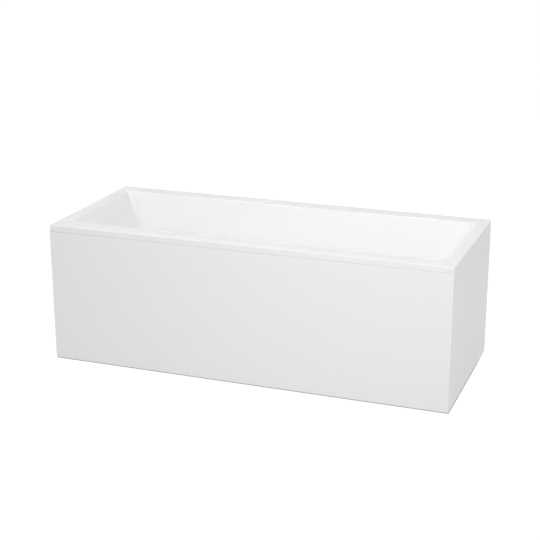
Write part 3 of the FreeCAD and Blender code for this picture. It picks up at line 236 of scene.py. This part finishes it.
def spread(tree, value, low, high):
    """A 0 to 1 pattern as a number from low to high."""
    return add(tree, "ShaderNodeMapRange", {
        "Value": value, "To Min": low, "To Max": high,
    }).outputs["Result"]


def relief(tree, shader, height, depth_mm):
    """Bump of a real depth in millimetres."""
    bump = add(tree, "ShaderNodeBump", {"Height": height, "Distance": depth_mm * MM, "Strength": 1.0})
    tree.links.new(bump.outputs["Normal"], shader.inputs["Normal"])


# ---- finishes -------------------------------------------------------------------------


def glossy_acrylic():
    """Sanitary PMMA sheet drawn over a mould: hard gloss with a slow waviness from the draw."""
    material, tree, shader, place = finish("glossy_acrylic", "#F5F5F5", 0.09, IOR=1.49)
    wave = grain(tree, place, 90, detail=1.0)
    peel = grain(tree, place, 5, detail=1.0)
    both = add(tree, "ShaderNodeMath", {0: wave, 1: spread(tree, peel, 0, 0.06)}, operation="ADD")
    relief(tree, shader, both.outputs["Value"], 0.25)
    haze = grain(tree, place, 140, detail=3.0)
    tree.links.new(spread(tree, haze, 0.07, 0.12), shader.inputs["Roughness"])
    return material


def strand_laminate():
    """Polyester resin over chopped glass strands, rolled on by hand behind the acrylic."""
    material, tree, shader, place = finish("strand_laminate", "#E4E1D8", 0.42, IOR=1.55)
    strands = None
    # strands are about 1.5 mm wide and 40 mm long; drawn 3 mm wide so that they show
    for turn in ((0.35, 0, 1.45), (-0.5, 0, 1.2), (1.2, 0, 0.6), (-0.9, 0, -1.0)):
        run = add(tree, "ShaderNodeMapping", {
            "Vector": place, "Rotation": turn, "Scale": (1, 11, 1),
        }, vector_type="TEXTURE")
        line = add(tree, "ShaderNodeTexNoise", {
            "Vector": run.outputs["Vector"], "Scale": 1 / (6 * MM), "Detail": 1.0, "Distortion": 0.3,
        }).outputs["Fac"]
        if strands is not None:
            line = add(tree, "ShaderNodeMath", {0: strands, 1: line}, operation="MAXIMUM").outputs["Value"]
        strands = line
    colour = ramp(tree, strands, [(0.50, "#CFCBBE"), (0.60, "#E4E1D8"), (0.72, "#F4F2EC")])
    tree.links.new(colour, shader.inputs["Base Color"])
    relief(tree, shader, strands, 0.6)
    pools = grain(tree, place, 60, detail=3.0)
    tree.links.new(spread(tree, pools, 0.28, 0.60), shader.inputs["Roughness"])
    return material


def raw_chipboard():
    """Pressed wood chips 2 to 8 mm long, pale between darker bark flecks, sawn and not coated."""
    material, tree, shader, place = finish("raw_chipboard", "#B9905C", 0.78, IOR=1.45)
    stretched = add(tree, "ShaderNodeMapping", {"Vector": place, "Scale": (0.45, 1, 1)})
    chips = add(tree, "ShaderNodeTexVoronoi", {
        "Vector": stretched.outputs["Vector"], "Scale": 1 / (4 * MM), "Randomness": 1.0,
    })
    tone = add(tree, "ShaderNodeSeparateColor", {"Color": chips.outputs["Color"]}).outputs["Red"]
    wood = ramp(tree, tone, [(0.0, "#8E6A3F"), (0.25, "#B58A57"), (0.7, "#CFA973"), (1.0, "#DDC092")])
    dust = grain(tree, place, 30, detail=4.0)
    blend = add(tree, "ShaderNodeMix", {
        "Factor": spread(tree, dust, 0.0, 0.35), 6: wood, 7: linear("#CDAE7E"),
    }, data_type="RGBA")
    tree.links.new(blend.outputs[2], shader.inputs["Base Color"])
    relief(tree, shader, chips.outputs["Distance"], 0.5)
    return material


def zinc_plate():
    """Cold-rolled steel under bright zinc: pale blue-grey, clouded, with faint rolling lines."""
    material, tree, shader, place = finish("zinc_plate", "#B9BDC1", 0.34, Metallic=1.0)
    cloud = grain(tree, place, 22, detail=4.0, roughness=0.6)
    colour = ramp(tree, cloud, [(0.3, "#A3A7AB"), (0.5, "#BCC0C4"), (0.7, "#CCCFD0")])
    tree.links.new(colour, shader.inputs["Base Color"])
    tree.links.new(spread(tree, cloud, 0.26, 0.46), shader.inputs["Roughness"])
    rolled = grain(tree, place, 1.5, detail=2.0, stretch=(0.05, 1, 1))
    relief(tree, shader, rolled, 0.04)
    return material


def black_nylon():
    """Injection-moulded nylon with a spark-eroded texture, scuffed a little paler."""
    material, tree, shader, place = finish("black_nylon", "#1B1B1D", 0.5, IOR=1.53)
    scuff = grain(tree, place, 9, detail=5.0, roughness=0.7)
    colour = ramp(tree, scuff, [(0.45, "#17171A"), (0.75, "#2E2E31")])
    tree.links.new(colour, shader.inputs["Base Color"])
    # the texture is about 0.1 mm; drawn 0.9 mm so that it shows
    relief(tree, shader, grain(tree, place, 0.9, detail=1.0), 0.05)
    return material


def chrome_plate():
    """Chrome over polished brass: a near mirror with a breath of haze."""
    material, tree, shader, place = finish("chrome_plate", "#D9DBDD", 0.05, Metallic=1.0)
    haze = grain(tree, place, 12, detail=3.0)
    tree.links.new(spread(tree, haze, 0.03, 0.09), shader.inputs["Roughness"])
    relief(tree, shader, grain(tree, place, 6, detail=1.0), 0.01)
    return material


def turned_brass():
    """Free-cutting brass straight off the lathe, with the rings that the tool leaves."""
    material, tree, shader, place = finish("turned_brass", "#C9A557", 0.26, Metallic=1.0)
    # bands are pi / 10 over the scale apart, here 0.8 mm, wider than a real feed so that they show
    rings = add(tree, "ShaderNodeTexWave", {
        "Vector": place, "Scale": 1 / (2 * math.pi * 0.4 * MM), "Distortion": 0.3,
    }, bands_direction="Z").outputs["Fac"]
    relief(tree, shader, rings, 0.03)
    tarnish = grain(tree, place, 14, detail=3.0)
    colour = ramp(tree, tarnish, [(0.35, "#B48F45"), (0.65, "#D4B264")])
    tree.links.new(colour, shader.inputs["Base Color"])
    return material


def gasket_rubber():
    """Moulded EPDM: dark, dull and slightly bloomed."""
    material, tree, shader, place = finish("gasket_rubber", "#232324", 0.72, IOR=1.52)
    bloom = grain(tree, place, 7, detail=4.0)
    colour = ramp(tree, bloom, [(0.4, "#1D1D1E"), (0.8, "#37373A")])
    tree.links.new(colour, shader.inputs["Base Color"])
    relief(tree, shader, grain(tree, place, 1.2, detail=1.0), 0.04)
    return material


def moulded_polypropylene():
    """White polypropylene pipe and fittings: waxy, slightly translucent, with flow marks."""
    material, tree, shader, place = finish(
        "moulded_polypropylene", "#E4E4E0", 0.38, IOR=1.49, **{
            "Subsurface Weight": 0.15, "Subsurface Scale": 0.004,
        },
    )
    flow = grain(tree, place, 18, detail=3.0, stretch=(1, 1, 0.4))
    colour = ramp(tree, flow, [(0.35, "#DCDCD7"), (0.65, "#EAEAE7")])
    tree.links.new(colour, shader.inputs["Base Color"])
    tree.links.new(spread(tree, flow, 0.32, 0.46), shader.inputs["Roughness"])
    relief(tree, shader, grain(tree, place, 1.0, detail=1.0), 0.03)
    return material


def corrugated_polyethylene():
    """Blown grey polyethylene hose, uneven in tone and shine."""
    material, tree, shader, place = finish("corrugated_polyethylene", "#A7AAAC", 0.4, IOR=1.51)
    streak = grain(tree, place, 8, detail=3.0)
    colour = ramp(tree, streak, [(0.35, "#9B9EA1"), (0.7, "#B3B6B8")])
    tree.links.new(colour, shader.inputs["Base Color"])
    tree.links.new(spread(tree, streak, 0.32, 0.5), shader.inputs["Roughness"])
    return material


def foam_strip():
    """White closed-cell polyethylene foam: chalky, with pores under half a millimetre, drawn 0.8 mm."""
    material, tree, shader, place = finish("foam_strip", "#F2F2F1", 0.7, IOR=1.5)
    relief(tree, shader, grain(tree, place, 0.8, detail=1.0), 0.1)
    tone = ramp(tree, grain(tree, place, 5, detail=3.0), [(0.35, "#EDEDEC"), (0.65, "#F5F5F4")])
    tree.links.new(tone, shader.inputs["Base Color"])
    return material


def cable_jacket():
    """Black PVC jacket over the cable's steel coil."""
    material, tree, shader, place = finish("cable_jacket", "#161617", 0.42, IOR=1.53)
    dust = grain(tree, place, 5, detail=4.0)
    colour = ramp(tree, dust, [(0.45, "#141415"), (0.8, "#2B2B2C")])
    tree.links.new(colour, shader.inputs["Base Color"])
    relief(tree, shader, grain(tree, place, 1.0, detail=1.0), 0.03)
    return material


def studio_floor():
    """A floor that is evenly white to the eye and gives the tub its light from below.

    Under the tub a painted shadow darkens its glow: at once behind the two panels, slowly under the open
    sides."""
    material, tree, shader, place = finish("studio_floor", "#8A8A8A", 0.9)
    shader.inputs["Emission Color"].default_value = linear("#FFFFFF")
    shader.inputs["Specular IOR Level"].default_value = 0.0
    axes = add(tree, "ShaderNodeSeparateXYZ", {"Vector": place}).outputs
    # painted shadow: the floor's glow is multiplied down to dark under the tub, by place
    lit = 0.0
    for operation, axis, edge, dark in UNDER_TUB_PAINTED_SHADOW:
        side = add(tree, "ShaderNodeMapRange", {
            "Value": axes[axis], "From Min": dark, "From Max": edge, "To Min": 0.0, "To Max": 1.0,
        }, interpolation_type="SMOOTHSTEP").outputs["Result"]
        lit = add(tree, "ShaderNodeMath", {0: lit, 1: side}, operation=operation).outputs["Value"]
    seen = add(tree, "ShaderNodeLightPath").outputs["Is Camera Ray"]
    glow = spread(tree, seen, FLOOR_GLOW, FLOOR_WHITE)
    strength = add(tree, "ShaderNodeMath", {0: lit, 1: glow}, operation="MULTIPLY").outputs["Value"]
    tree.links.new(strength, shader.inputs["Emission Strength"])
    return material


# ---- meshes ---------------------------------------------------------------------------


def joined(node):
    """A node's loose triangles as one closed mesh, for bmesh work."""
    mesh = bmesh.new()
    mesh.from_mesh(NODES[node].data)
    bmesh.ops.remove_doubles(mesh, verts=mesh.verts, dist=2e-6)
    return mesh


def mesh_data(name, shape):
    """Mesh data from a bmesh, which is freed."""
    data = bpy.data.meshes.new(name)
    shape.to_mesh(data)
    shape.free()
    return data


def piece(name, mesh, body, materials):
    """A finished object at the origin that rides on a body, from a bmesh or from mesh data."""
    if isinstance(mesh, bmesh.types.BMesh):
        data = mesh_data(name, mesh)
    else:
        data = mesh
        data.materials.clear()
    for material in materials:
        data.materials.append(material)
    thing = new_object(name, data)
    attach(thing, body)
    return thing


def body_of(node):
    return NODES[node]["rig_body"]


def slot_of(node):
    return next(row["material_slot"] for row in frame["record"]["subparts"] if row["node"] == node)


def smoothed(node, name, materials, sharpest=28, facing=None):
    """A node's own surface, shaded smooth but for its edges of more than sharpest degrees.

    Facing says which of the materials a face takes, and the shading breaks where two of them meet."""
    mesh = joined(node)
    for face in mesh.faces:
        face.smooth = True
        face.material_index = facing(face) if facing else 0
    for edge in mesh.edges:
        edge.smooth = len(edge.link_faces) == 2 and edge.calc_face_angle(0) < math.radians(sharpest)
        if facing and edge.smooth:
            edge.smooth = edge.link_faces[0].material_index == edge.link_faces[1].material_index
    thing = piece(name, mesh, body_of(node), materials)
    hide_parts(node)


def islands(node):
    """The boxes of the separate solids in one node, lowest and highest corner of each."""
    mesh = joined(node)
    left = set(mesh.verts)
    boxes = []
    while left:
        group = set()
        waiting = [left.pop()]
        while waiting:
            vertex = waiting.pop()
            group.add(vertex)
            near = {edge.other_vert(vertex) for edge in vertex.link_edges} & left
            left -= near
            waiting += near
        boxes.append(tuple(
            Vector([pick(vertex.co[i] for vertex in group) for i in range(3)]) for pick in (min, max)
        ))
    mesh.free()
    return sorted(boxes, key=lambda pair: tuple(pair[0]))


def lathe(profile, sides):
    """A bmesh turned round Z from (radius, height) points; a radius of zero closes on the axis."""
    mesh = bmesh.new()
    turns = [2 * math.pi * i / sides for i in range(sides)]
    rings = []
    for radius, height in profile:
        if radius == 0:
            rings.append([mesh.verts.new((0, 0, height))] * sides)
        else:
            rings.append([
                mesh.verts.new((radius * math.cos(turn), radius * math.sin(turn), height)) for turn in turns
            ])
    for low, high in zip(rings, rings[1:]):
        for i in range(sides):
            j = (i + 1) % sides
            corners = list(dict.fromkeys([low[i], low[j], high[j], high[i]]))
            if len(corners) > 2:
                mesh.faces.new(corners)
    return mesh


# ---- repeated hardware, by geometry nodes ---------------------------------------------


def new_tree(name, inputs):
    """A geometry tree with these named inputs, and the sockets that give them."""
    tree = bpy.data.node_groups.new(name, "GeometryNodeTree")
    tree.interface.new_socket("Geometry", in_out="INPUT", socket_type="NodeSocketGeometry")
    for label, kind in inputs:
        tree.interface.new_socket(label, in_out="INPUT", socket_type=kind)
    tree.interface.new_socket("Geometry", in_out="OUTPUT", socket_type="NodeSocketGeometry")
    return tree, tree.nodes.new("NodeGroupInput").outputs


def close_tree(tree, geometry, material):
    """Every tree ends in real faces of one material."""
    real = add(tree, "GeometryNodeRealizeInstances", {"Geometry": geometry})
    painted = add(tree, "GeometryNodeSetMaterial", {
        "Geometry": real.outputs["Geometry"], "Material": material,
    })
    tree.links.new(painted.outputs["Geometry"], tree.nodes.new("NodeGroupOutput").inputs["Geometry"])
    return tree


def grown(name, tree, base, values, body, material):
    """Run a tree on a base mesh or curve and keep the result as a plain mesh."""
    seed = new_object(name + "_seed", base)
    modifier = seed.modifiers.new("grow", "NODES")
    modifier.node_group = tree
    for item in tree.interface.items_tree:
        if item.in_out == "INPUT" and item.name in values:
            modifier[item.identifier] = values[item.name]
    bpy.context.view_layer.update()
    evaluated = seed.evaluated_get(bpy.context.evaluated_depsgraph_get())
    made = bpy.data.meshes.new_from_object(evaluated)
    made.name = name
    bpy.data.objects.remove(seed)
    return piece(name, made, body, [material])


def fastener_tree():
    """One fastener on every point, each turned by chance about its own axis."""
    tree, given = new_tree("fasteners", [
        ("Fastener", "NodeSocketObject"), ("Lean", "NodeSocketRotation"), ("Seed", "NodeSocketInt"),
        ("Finish", "NodeSocketMaterial"),
    ])
    shape = add(tree, "GeometryNodeObjectInfo", {"Object": given["Fastener"]}, transform_space="ORIGINAL")
    points = add(tree, "GeometryNodeMeshToPoints", {"Mesh": given["Geometry"]})
    placed = add(tree, "GeometryNodeInstanceOnPoints", {
        "Points": points.outputs["Points"], "Instance": shape.outputs["Geometry"],
        "Rotation": given["Lean"],
    })
    chance = add(tree, "FunctionNodeRandomValue", {
        "Max": 2 * math.pi, "Seed": given["Seed"],
    }, data_type="FLOAT")
    spin = add(tree, "ShaderNodeCombineXYZ", {"Z": chance.outputs[1]})
    turned = add(tree, "GeometryNodeRotateInstances", {
        "Instances": placed.outputs["Instances"], "Rotation": spin.outputs["Vector"],
    })
    return close_tree(tree, turned.outputs["Instances"], given["Finish"])


def thread_tree():
    """A rod with a helical thread from its foot to its top."""
    tree, given = new_tree("threaded_rod", [
        ("Length", "NodeSocketFloat"), ("Radius", "NodeSocketFloat"), ("Pitch", "NodeSocketFloat"),
        ("Foot", "NodeSocketVector"), ("Finish", "NodeSocketMaterial"),
    ])
    depth = add(tree, "ShaderNodeMath", {
        0: given["Pitch"], 1: THREAD_DEPTH,
    }, operation="MULTIPLY").outputs["Value"]
    core = add(tree, "ShaderNodeMath", {
        0: given["Radius"], 1: depth,
    }, operation="SUBTRACT").outputs["Value"]
    top = add(tree, "ShaderNodeCombineXYZ", {"Z": given["Length"]})
    line = add(tree, "GeometryNodeCurvePrimitiveLine", {"End": top.outputs["Vector"]})
    round_core = add(tree, "GeometryNodeCurvePrimitiveCircle", {"Resolution": 16, "Radius": core})
    rod = add(tree, "GeometryNodeCurveToMesh", {
        "Curve": line.outputs["Curve"], "Profile Curve": round_core.outputs["Curve"], "Fill Caps": True,
    })
    turns = add(tree, "ShaderNodeMath", {0: given["Length"], 1: given["Pitch"]}, operation="DIVIDE")
    helix = add(tree, "GeometryNodeCurveSpiral", {
        "Resolution": 14, "Rotations": turns.outputs["Value"], "Start Radius": core, "End Radius": core,
        "Height": given["Length"],
    })
    crest = add(tree, "GeometryNodeCurvePrimitiveCircle", {"Resolution": 4, "Radius": depth})
    ridge = add(tree, "GeometryNodeCurveToMesh", {
        "Curve": helix.outputs["Curve"], "Profile Curve": crest.outputs["Curve"], "Fill Caps": True,
    })
    both = add(tree, "GeometryNodeJoinGeometry")
    for part in (rod, ridge):
        tree.links.new(part.outputs["Mesh"], both.inputs["Geometry"])
    stood = add(tree, "GeometryNodeTransform", {
        "Geometry": both.outputs["Geometry"], "Translation": given["Foot"],
    })
    return close_tree(tree, stood.outputs["Geometry"], given["Finish"])


def corrugation_tree():
    """A hose whose wall rises and falls in rings along its own line."""
    tree, given = new_tree("corrugated_hose", [
        ("Radius", "NodeSocketFloat"), ("Depth", "NodeSocketFloat"), ("Pitch", "NodeSocketFloat"),
        ("Finish", "NodeSocketMaterial"),
    ])
    step = add(tree, "ShaderNodeMath", {
        0: given["Pitch"], 1: HOSE_ROWS,
    }, operation="DIVIDE").outputs["Value"]
    fine = add(tree, "GeometryNodeResampleCurve", {
        "Curve": given["Geometry"], "Length": step,
    }, mode="LENGTH")
    along = add(tree, "GeometryNodeSplineParameter").outputs["Length"]
    phase = add(tree, "ShaderNodeMath", {0: along, 1: given["Pitch"]}, operation="DIVIDE").outputs["Value"]
    angle = add(tree, "ShaderNodeMath", {0: phase, 1: 2 * math.pi}, operation="MULTIPLY").outputs["Value"]
    wave = add(tree, "ShaderNodeMath", {0: angle}, operation="COSINE").outputs["Value"]
    dip = add(tree, "ShaderNodeMapRange", {
        "Value": wave, "From Min": -1.0, "From Max": 1.0, "To Min": given["Depth"], "To Max": 0.0,
    }).outputs["Result"]
    reach = add(tree, "ShaderNodeMath", {0: given["Radius"], 1: dip}, operation="SUBTRACT").outputs["Value"]
    ring = add(tree, "GeometryNodeCurvePrimitiveCircle", {"Resolution": 28, "Radius": 1.0})
    wall = add(tree, "GeometryNodeCurveToMesh", {
        "Curve": fine.outputs["Curve"], "Profile Curve": ring.outputs["Curve"], "Scale": reach,
        "Fill Caps": True,
    })
    smooth = add(tree, "GeometryNodeSetShadeSmooth", {"Geometry": wall.outputs["Mesh"]})
    return close_tree(tree, smooth.outputs["Geometry"], given["Finish"])


def points_mesh(name, places):
    """A mesh of loose points."""
    data = bpy.data.meshes.new(name)
    data.from_pydata(places, [], [])
    return data


def pan_head_screw(length):
    """A pan-head screw with a cross recess, its head below the face and its shank up."""
    shape = lathe([
        (0, -HEAD_HEIGHT), (HEAD_RADIUS * 0.55, -HEAD_HEIGHT), (HEAD_RADIUS * 0.88, -HEAD_HEIGHT * 0.78),
        (HEAD_RADIUS, -HEAD_HEIGHT * 0.3), (HEAD_RADIUS, 0), (SHANK_RADIUS, 0),
        (SHANK_RADIUS, length - TIP_LENGTH), (SHANK_RADIUS * 0.45, length), (0, length),
    ], 16)
    for face in shape.faces:
        face.smooth = True
    head = new_object("pan_head_screw", mesh_data("pan_head_screw", shape))
    cross = bmesh.new()
    for reach_x, reach_y in ((CROSS_LENGTH, CROSS_WIDTH), (CROSS_WIDTH, CROSS_LENGTH)):
        bmesh.ops.create_cube(cross, size=1, matrix=(
            Matrix.Translation((0, 0, -HEAD_HEIGHT))
            @ Matrix.Diagonal((2 * reach_x * HEAD_RADIUS, 2 * reach_y * HEAD_RADIUS, HEAD_HEIGHT * 1.1, 1))
        ))
    tool = new_object("cross_recess", mesh_data("cross_recess", cross))
    cut = head.modifiers.new("recess", "BOOLEAN")
    cut.operation = "DIFFERENCE"
    cut.object = tool
    cut.solver = "EXACT"
    cut.use_self = True
    bpy.context.view_layer.update()
    made = bpy.data.meshes.new_from_object(head.evaluated_get(bpy.context.evaluated_depsgraph_get()))
    head.modifiers.clear()
    head.data = made
    bpy.data.objects.remove(tool)
    return head


def chamfered_nut():
    """A hexagon nut whose corners are turned off at thirty degrees above and below."""
    shape = bmesh.new()
    turns = [2 * math.pi * i / NUT_SIDES for i in range(NUT_SIDES)]
    # radius of the flat that is left on each end, inside the turned-off corners
    flat = NUT_WIDTH / 2 * 0.97
    rings = []
    for kind, top in (("bore", False), ("lead", False), ("flat", False), ("hexagon", False),
                      ("hexagon", True), ("flat", True), ("lead", True), ("bore", True)):
        ring = []
        for turn in turns:
            side = NUT_WIDTH / 2 / math.cos((turn + math.pi / 6) % (math.pi / 3) - math.pi / 6)
            radius, inset = {
                "bore": (NUT_BORE, NUT_LEAD_DEPTH),
                "lead": (NUT_BORE + NUT_LEAD_WIDTH, 0),
                "flat": (flat, 0),
                "hexagon": (side, (side - flat) * math.tan(math.radians(30))),
            }[kind]
            height = NUT_HEIGHT - inset if top else inset
            ring.append(shape.verts.new((radius * math.cos(turn), radius * math.sin(turn), height)))
        rings.append(ring)
    for low, high in zip(rings, rings[1:] + rings[:1]):
        for i in range(NUT_SIDES):
            j = (i + 1) % NUT_SIDES
            shape.faces.new((low[i], low[j], high[j], high[i]))
    bmesh.ops.recalc_face_normals(shape, faces=shape.faces)
    return new_object("chamfered_nut", mesh_data("chamfered_nut", shape))


# ---- dressing -------------------------------------------------------------------------


def dress_shell(acrylic, laminate):
    """White acrylic on every face that is seen or touched, strand laminate behind it."""
    def side(face):
        middle = face.calc_center_median()
        lip = abs(middle.y) > LIP_Y or abs(middle.x) > LIP_X
        return 0 if (face.normal.z > RISING or lip) else 1
    smoothed("tub_shell", "acrylic_tub", [acrylic, laminate], sharpest=32, facing=side)


def dress_screws(tree, zinc):
    """Cross-recess screws in place of the plain ones, on the place of each plain one."""
    kinds = {}
    for seed, node in enumerate(("frame_screws", "clip_screws", "panel_screws", "wall_bracket_screws")):
        rows = {}
        for low, high in islands(node):
            size = high - low
            middle = (low + high) / 2
            if size.z > size.x:
                row = ("up", round(size.z - HEAD_HEIGHT, 4))
                place = (middle.x, middle.y, low.z + HEAD_HEIGHT)
            else:
                row = ("along", round(size.x - HEAD_HEIGHT, 4))
                place = (low.x + HEAD_HEIGHT, middle.y, middle.z)
            rows.setdefault(row, []).append(place)
        made = []
        for (way, length), places in rows.items():
            if length not in kinds:
                kinds[length] = pan_head_screw(length)
            name = f"{node}_{way}" + (f"_{len(made)}" if made else "")
            made.append(grown(name, tree, points_mesh(name, places), {
                "Fastener": kinds[length], "Lean": (0, math.pi / 2 if way == "along" else 0, 0),
                "Seed": seed, "Finish": zinc,
            }, body_of(node), zinc))
        for thing in made:
            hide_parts(node)
    for thing in kinds.values():
        bpy.data.objects.remove(thing)


def dress_nuts(tree, zinc):
    """Chamfered hexagon nuts on the leg studs, above and below each web."""
    nut = chamfered_nut()
    places = [((low.x + high.x) / 2, (low.y + high.y) / 2, low.z) for low, high in islands("leg_nuts")]
    thing = grown("leg_nuts_chamfered", tree, points_mesh("leg_nuts_chamfered", places), {
        "Fastener": nut, "Seed": 7, "Finish": zinc,
    }, "tub", zinc)
    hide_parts("leg_nuts")
    bpy.data.objects.remove(nut)


def dress_studs(zinc):
    """M12 threaded studs, one on each foot."""
    tree = thread_tree()
    for node in sorted(NODES):
        if node.startswith("leg_stud"):
            low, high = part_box(node)
            middle = (low + high) / 2
            thing = grown(node + "_thread", tree, bpy.data.meshes.new(node), {
                "Length": high.z - low.z, "Radius": STUD_RADIUS, "Pitch": STUD_PITCH,
                "Foot": (middle.x, middle.y, low.z), "Finish": zinc,
            }, body_of(node), zinc)
            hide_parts(node)


def line_through(name, points):
    """A smooth line with the points as its control points."""
    curve = bpy.data.curves.new(name, "CURVE")
    curve.dimensions = "3D"
    curve.resolution_u = 16
    spline = curve.splines.new("NURBS")
    spline.points.add(len(points) - 1)
    for point, place in zip(spline.points, points):
        point.co = (*place, 1)
    spline.order_u = 3
    spline.use_endpoint_u = True
    return curve


def dress_hose(polyethylene):
    """The overflow hose, from the waste cup's port up behind the foot end wall."""
    line = line_through("overflow_hose_line", [Vector(place) * MM for place in HOSE_ROUTE])
    thing = grown("overflow_hose_corrugated", corrugation_tree(), line, {
        "Radius": HOSE_RADIUS, "Depth": HOSE_DEPTH, "Pitch": HOSE_PITCH, "Finish": polyethylene,
    }, "tub", polyethylene)
    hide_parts("overflow_hose")


def panel_strip(material):
    """The foam strip that closes the gap over the front panel, a little behind its face."""
    low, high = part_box("front_panel")
    top = high.z
    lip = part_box("end_panel")[1].z
    face = low.y + STRIP_FACE
    back = low.y + STRIP_BACK
    profile = [(face, top), (face + STRIP_HOLLOW, (top + lip) / 2), (face, lip), (back, lip), (back, top)]
    ends = (low.x + STRIP_INSETS[0], high.x - STRIP_INSETS[1])
    shape = bmesh.new()
    rows = [[shape.verts.new((x, y, z)) for y, z in profile] for x in ends]
    for i in range(len(profile)):
        j = (i + 1) % len(profile)
        shape.faces.new((rows[0][i], rows[0][j], rows[1][j], rows[1][i]))
    shape.faces.new(rows[0])
    shape.faces.new(rows[1])
    bmesh.ops.recalc_face_normals(shape, faces=shape.faces)
    piece("panel_top_strip", shape, "tub", [material])


def studio_stage():
    """One white square, wide enough to reach the horizon."""
    corners = [(x * FLOOR_REACH, y * FLOOR_REACH, 0) for x, y in ((-1, -1), (1, -1), (1, 1), (-1, 1))]
    data = bpy.data.meshes.new("floor")
    data.from_pydata(corners, [], [(0, 1, 2, 3)])
    data.materials.append(studio_floor())
    floor = new_object("floor", data)


def studio_sky():
    """A sky of a different strength each way, with a bright band low behind the tub.

    The camera sees an even white backdrop in its place."""
    world = bpy.data.worlds.new("studio")
    bpy.context.scene.world = world
    world.use_nodes = True
    tree = world.node_tree
    way = add(tree, "ShaderNodeTexCoord").outputs["Generated"]
    shares = []
    for sign, strengths in zip((1, -1), SKY):
        part = add(tree, "ShaderNodeVectorMath", {0: way, 1: (sign, sign, sign)}, operation="MULTIPLY")
        part = add(tree, "ShaderNodeVectorMath", {0: part.outputs[0], 1: (0, 0, 0)}, operation="MAXIMUM")
        part = add(tree, "ShaderNodeVectorMath", {
            0: part.outputs[0], 1: part.outputs[0],
        }, operation="MULTIPLY")
        share = add(tree, "ShaderNodeVectorMath", {
            0: part.outputs[0], 1: strengths,
        }, operation="DOT_PRODUCT")
        shares.append(share.outputs["Value"])
    sky = add(tree, "ShaderNodeMath", {0: shares[0], 1: shares[1]}, operation="ADD").outputs["Value"]
    axes = add(tree, "ShaderNodeSeparateXYZ", {"Vector": way}).outputs
    sides = []
    for axis, start, full in HORIZON_SIDES:
        side = add(tree, "ShaderNodeMapRange", {
            "Value": axes[axis], "From Min": start, "From Max": full, "To Max": 1.0,
        }, interpolation_type="SMOOTHSTEP")
        sides.append(side.outputs["Result"])
    band = add(tree, "ShaderNodeMath", {0: sides[0], 1: sides[1]}, operation="MULTIPLY").outputs["Value"]
    glow = add(tree, "ShaderNodeMath", {
        0: band, 1: HORIZON, 2: sky,
    }, operation="MULTIPLY_ADD").outputs["Value"]
    seen = add(tree, "ShaderNodeLightPath").outputs["Is Camera Ray"]
    strength = add(tree, "ShaderNodeMix", {"Factor": seen, 2: glow, 3: BACKDROP}).outputs[0]
    tree.links.new(strength, tree.nodes["Background"].inputs["Strength"])
    tree.nodes["Background"].inputs["Color"].default_value = (1, 1, 1, 1)


def softboxes():
    """The lamps, rectangles that the camera doesn't see."""
    for name, place, aim, size, beam, power, mirrored in SOFTBOXES:
        lamp = bpy.data.lights.new(name, "AREA")
        lamp.shape = "RECTANGLE"
        lamp.size, lamp.size_y = size
        lamp.energy = power
        lamp.spread = math.radians(beam)
        box = new_object(name, lamp)
        box.visible_camera = False
        box.visible_glossy = mirrored
        look = Vector(aim) - Vector(place)
        box.matrix_world = Matrix.Translation(place) @ look.to_track_quat("-Z", "Y").to_matrix().to_4x4()


# ---- the whole picture ----------------------------------------------------------------

photograph_camera()
bpy.context.scene.view_settings.view_transform = "Standard"
studio_stage()
studio_sky()
softboxes()

ACRYLIC, LAMINATE, CHIPBOARD = glossy_acrylic(), strand_laminate(), raw_chipboard()
ZINC, NYLON, CHROME, BRASS = zinc_plate(), black_nylon(), chrome_plate(), turned_brass()
RUBBER, POLYPROPYLENE = gasket_rubber(), moulded_polypropylene()
POLYETHYLENE, JACKET = corrugated_polyethylene(), cable_jacket()
BY_SLOT = {
    "white_acrylic": ACRYLIC, "chipboard": CHIPBOARD, "black_nylon": NYLON, "bright_chrome": CHROME,
    "brass": BRASS, "black_rubber": RUBBER, "white_polypropylene": POLYPROPYLENE,
    "grey_hose": POLYETHYLENE, "black_cable": JACKET, "zinc_steel": ZINC,
}
for node, thing in NODES.items():
    thing.data.materials.clear()
    thing.data.materials.append(BY_SLOT[slot_of(node)])

dress_shell(ACRYLIC, LAMINATE)
for node in ("front_panel", "end_panel"):
    smoothed(node, node + "_acrylic", [ACRYLIC])
ROUND = [
    "drain_flange", "drain_plug", "plug_seal", "plug_stem", "waste_body", "trap_body", "trap_inlet_nut",
    "trap_outlet_nut", "waste_outlet", "overflow_body", "overflow_plate", "overflow_knob", "knob_spindle",
    "drain_gasket", "waste_seal", "overflow_gasket", "bowden_cable", "hose_nut_upper", "hose_nut_lower",
]
ROUND += [
    node for node in sorted(NODES) if node.startswith(("foot_pad", "cradle", "panel_bracket", "centre_leg"))
]
for node in ROUND:
    smoothed(node, node + "_surface", [BY_SLOT[slot_of(node)]])
FASTENERS = fastener_tree()
dress_screws(FASTENERS, ZINC)
dress_nuts(FASTENERS, ZINC)
dress_studs(ZINC)
dress_hose(POLYETHYLENE)
panel_strip(foam_strip())
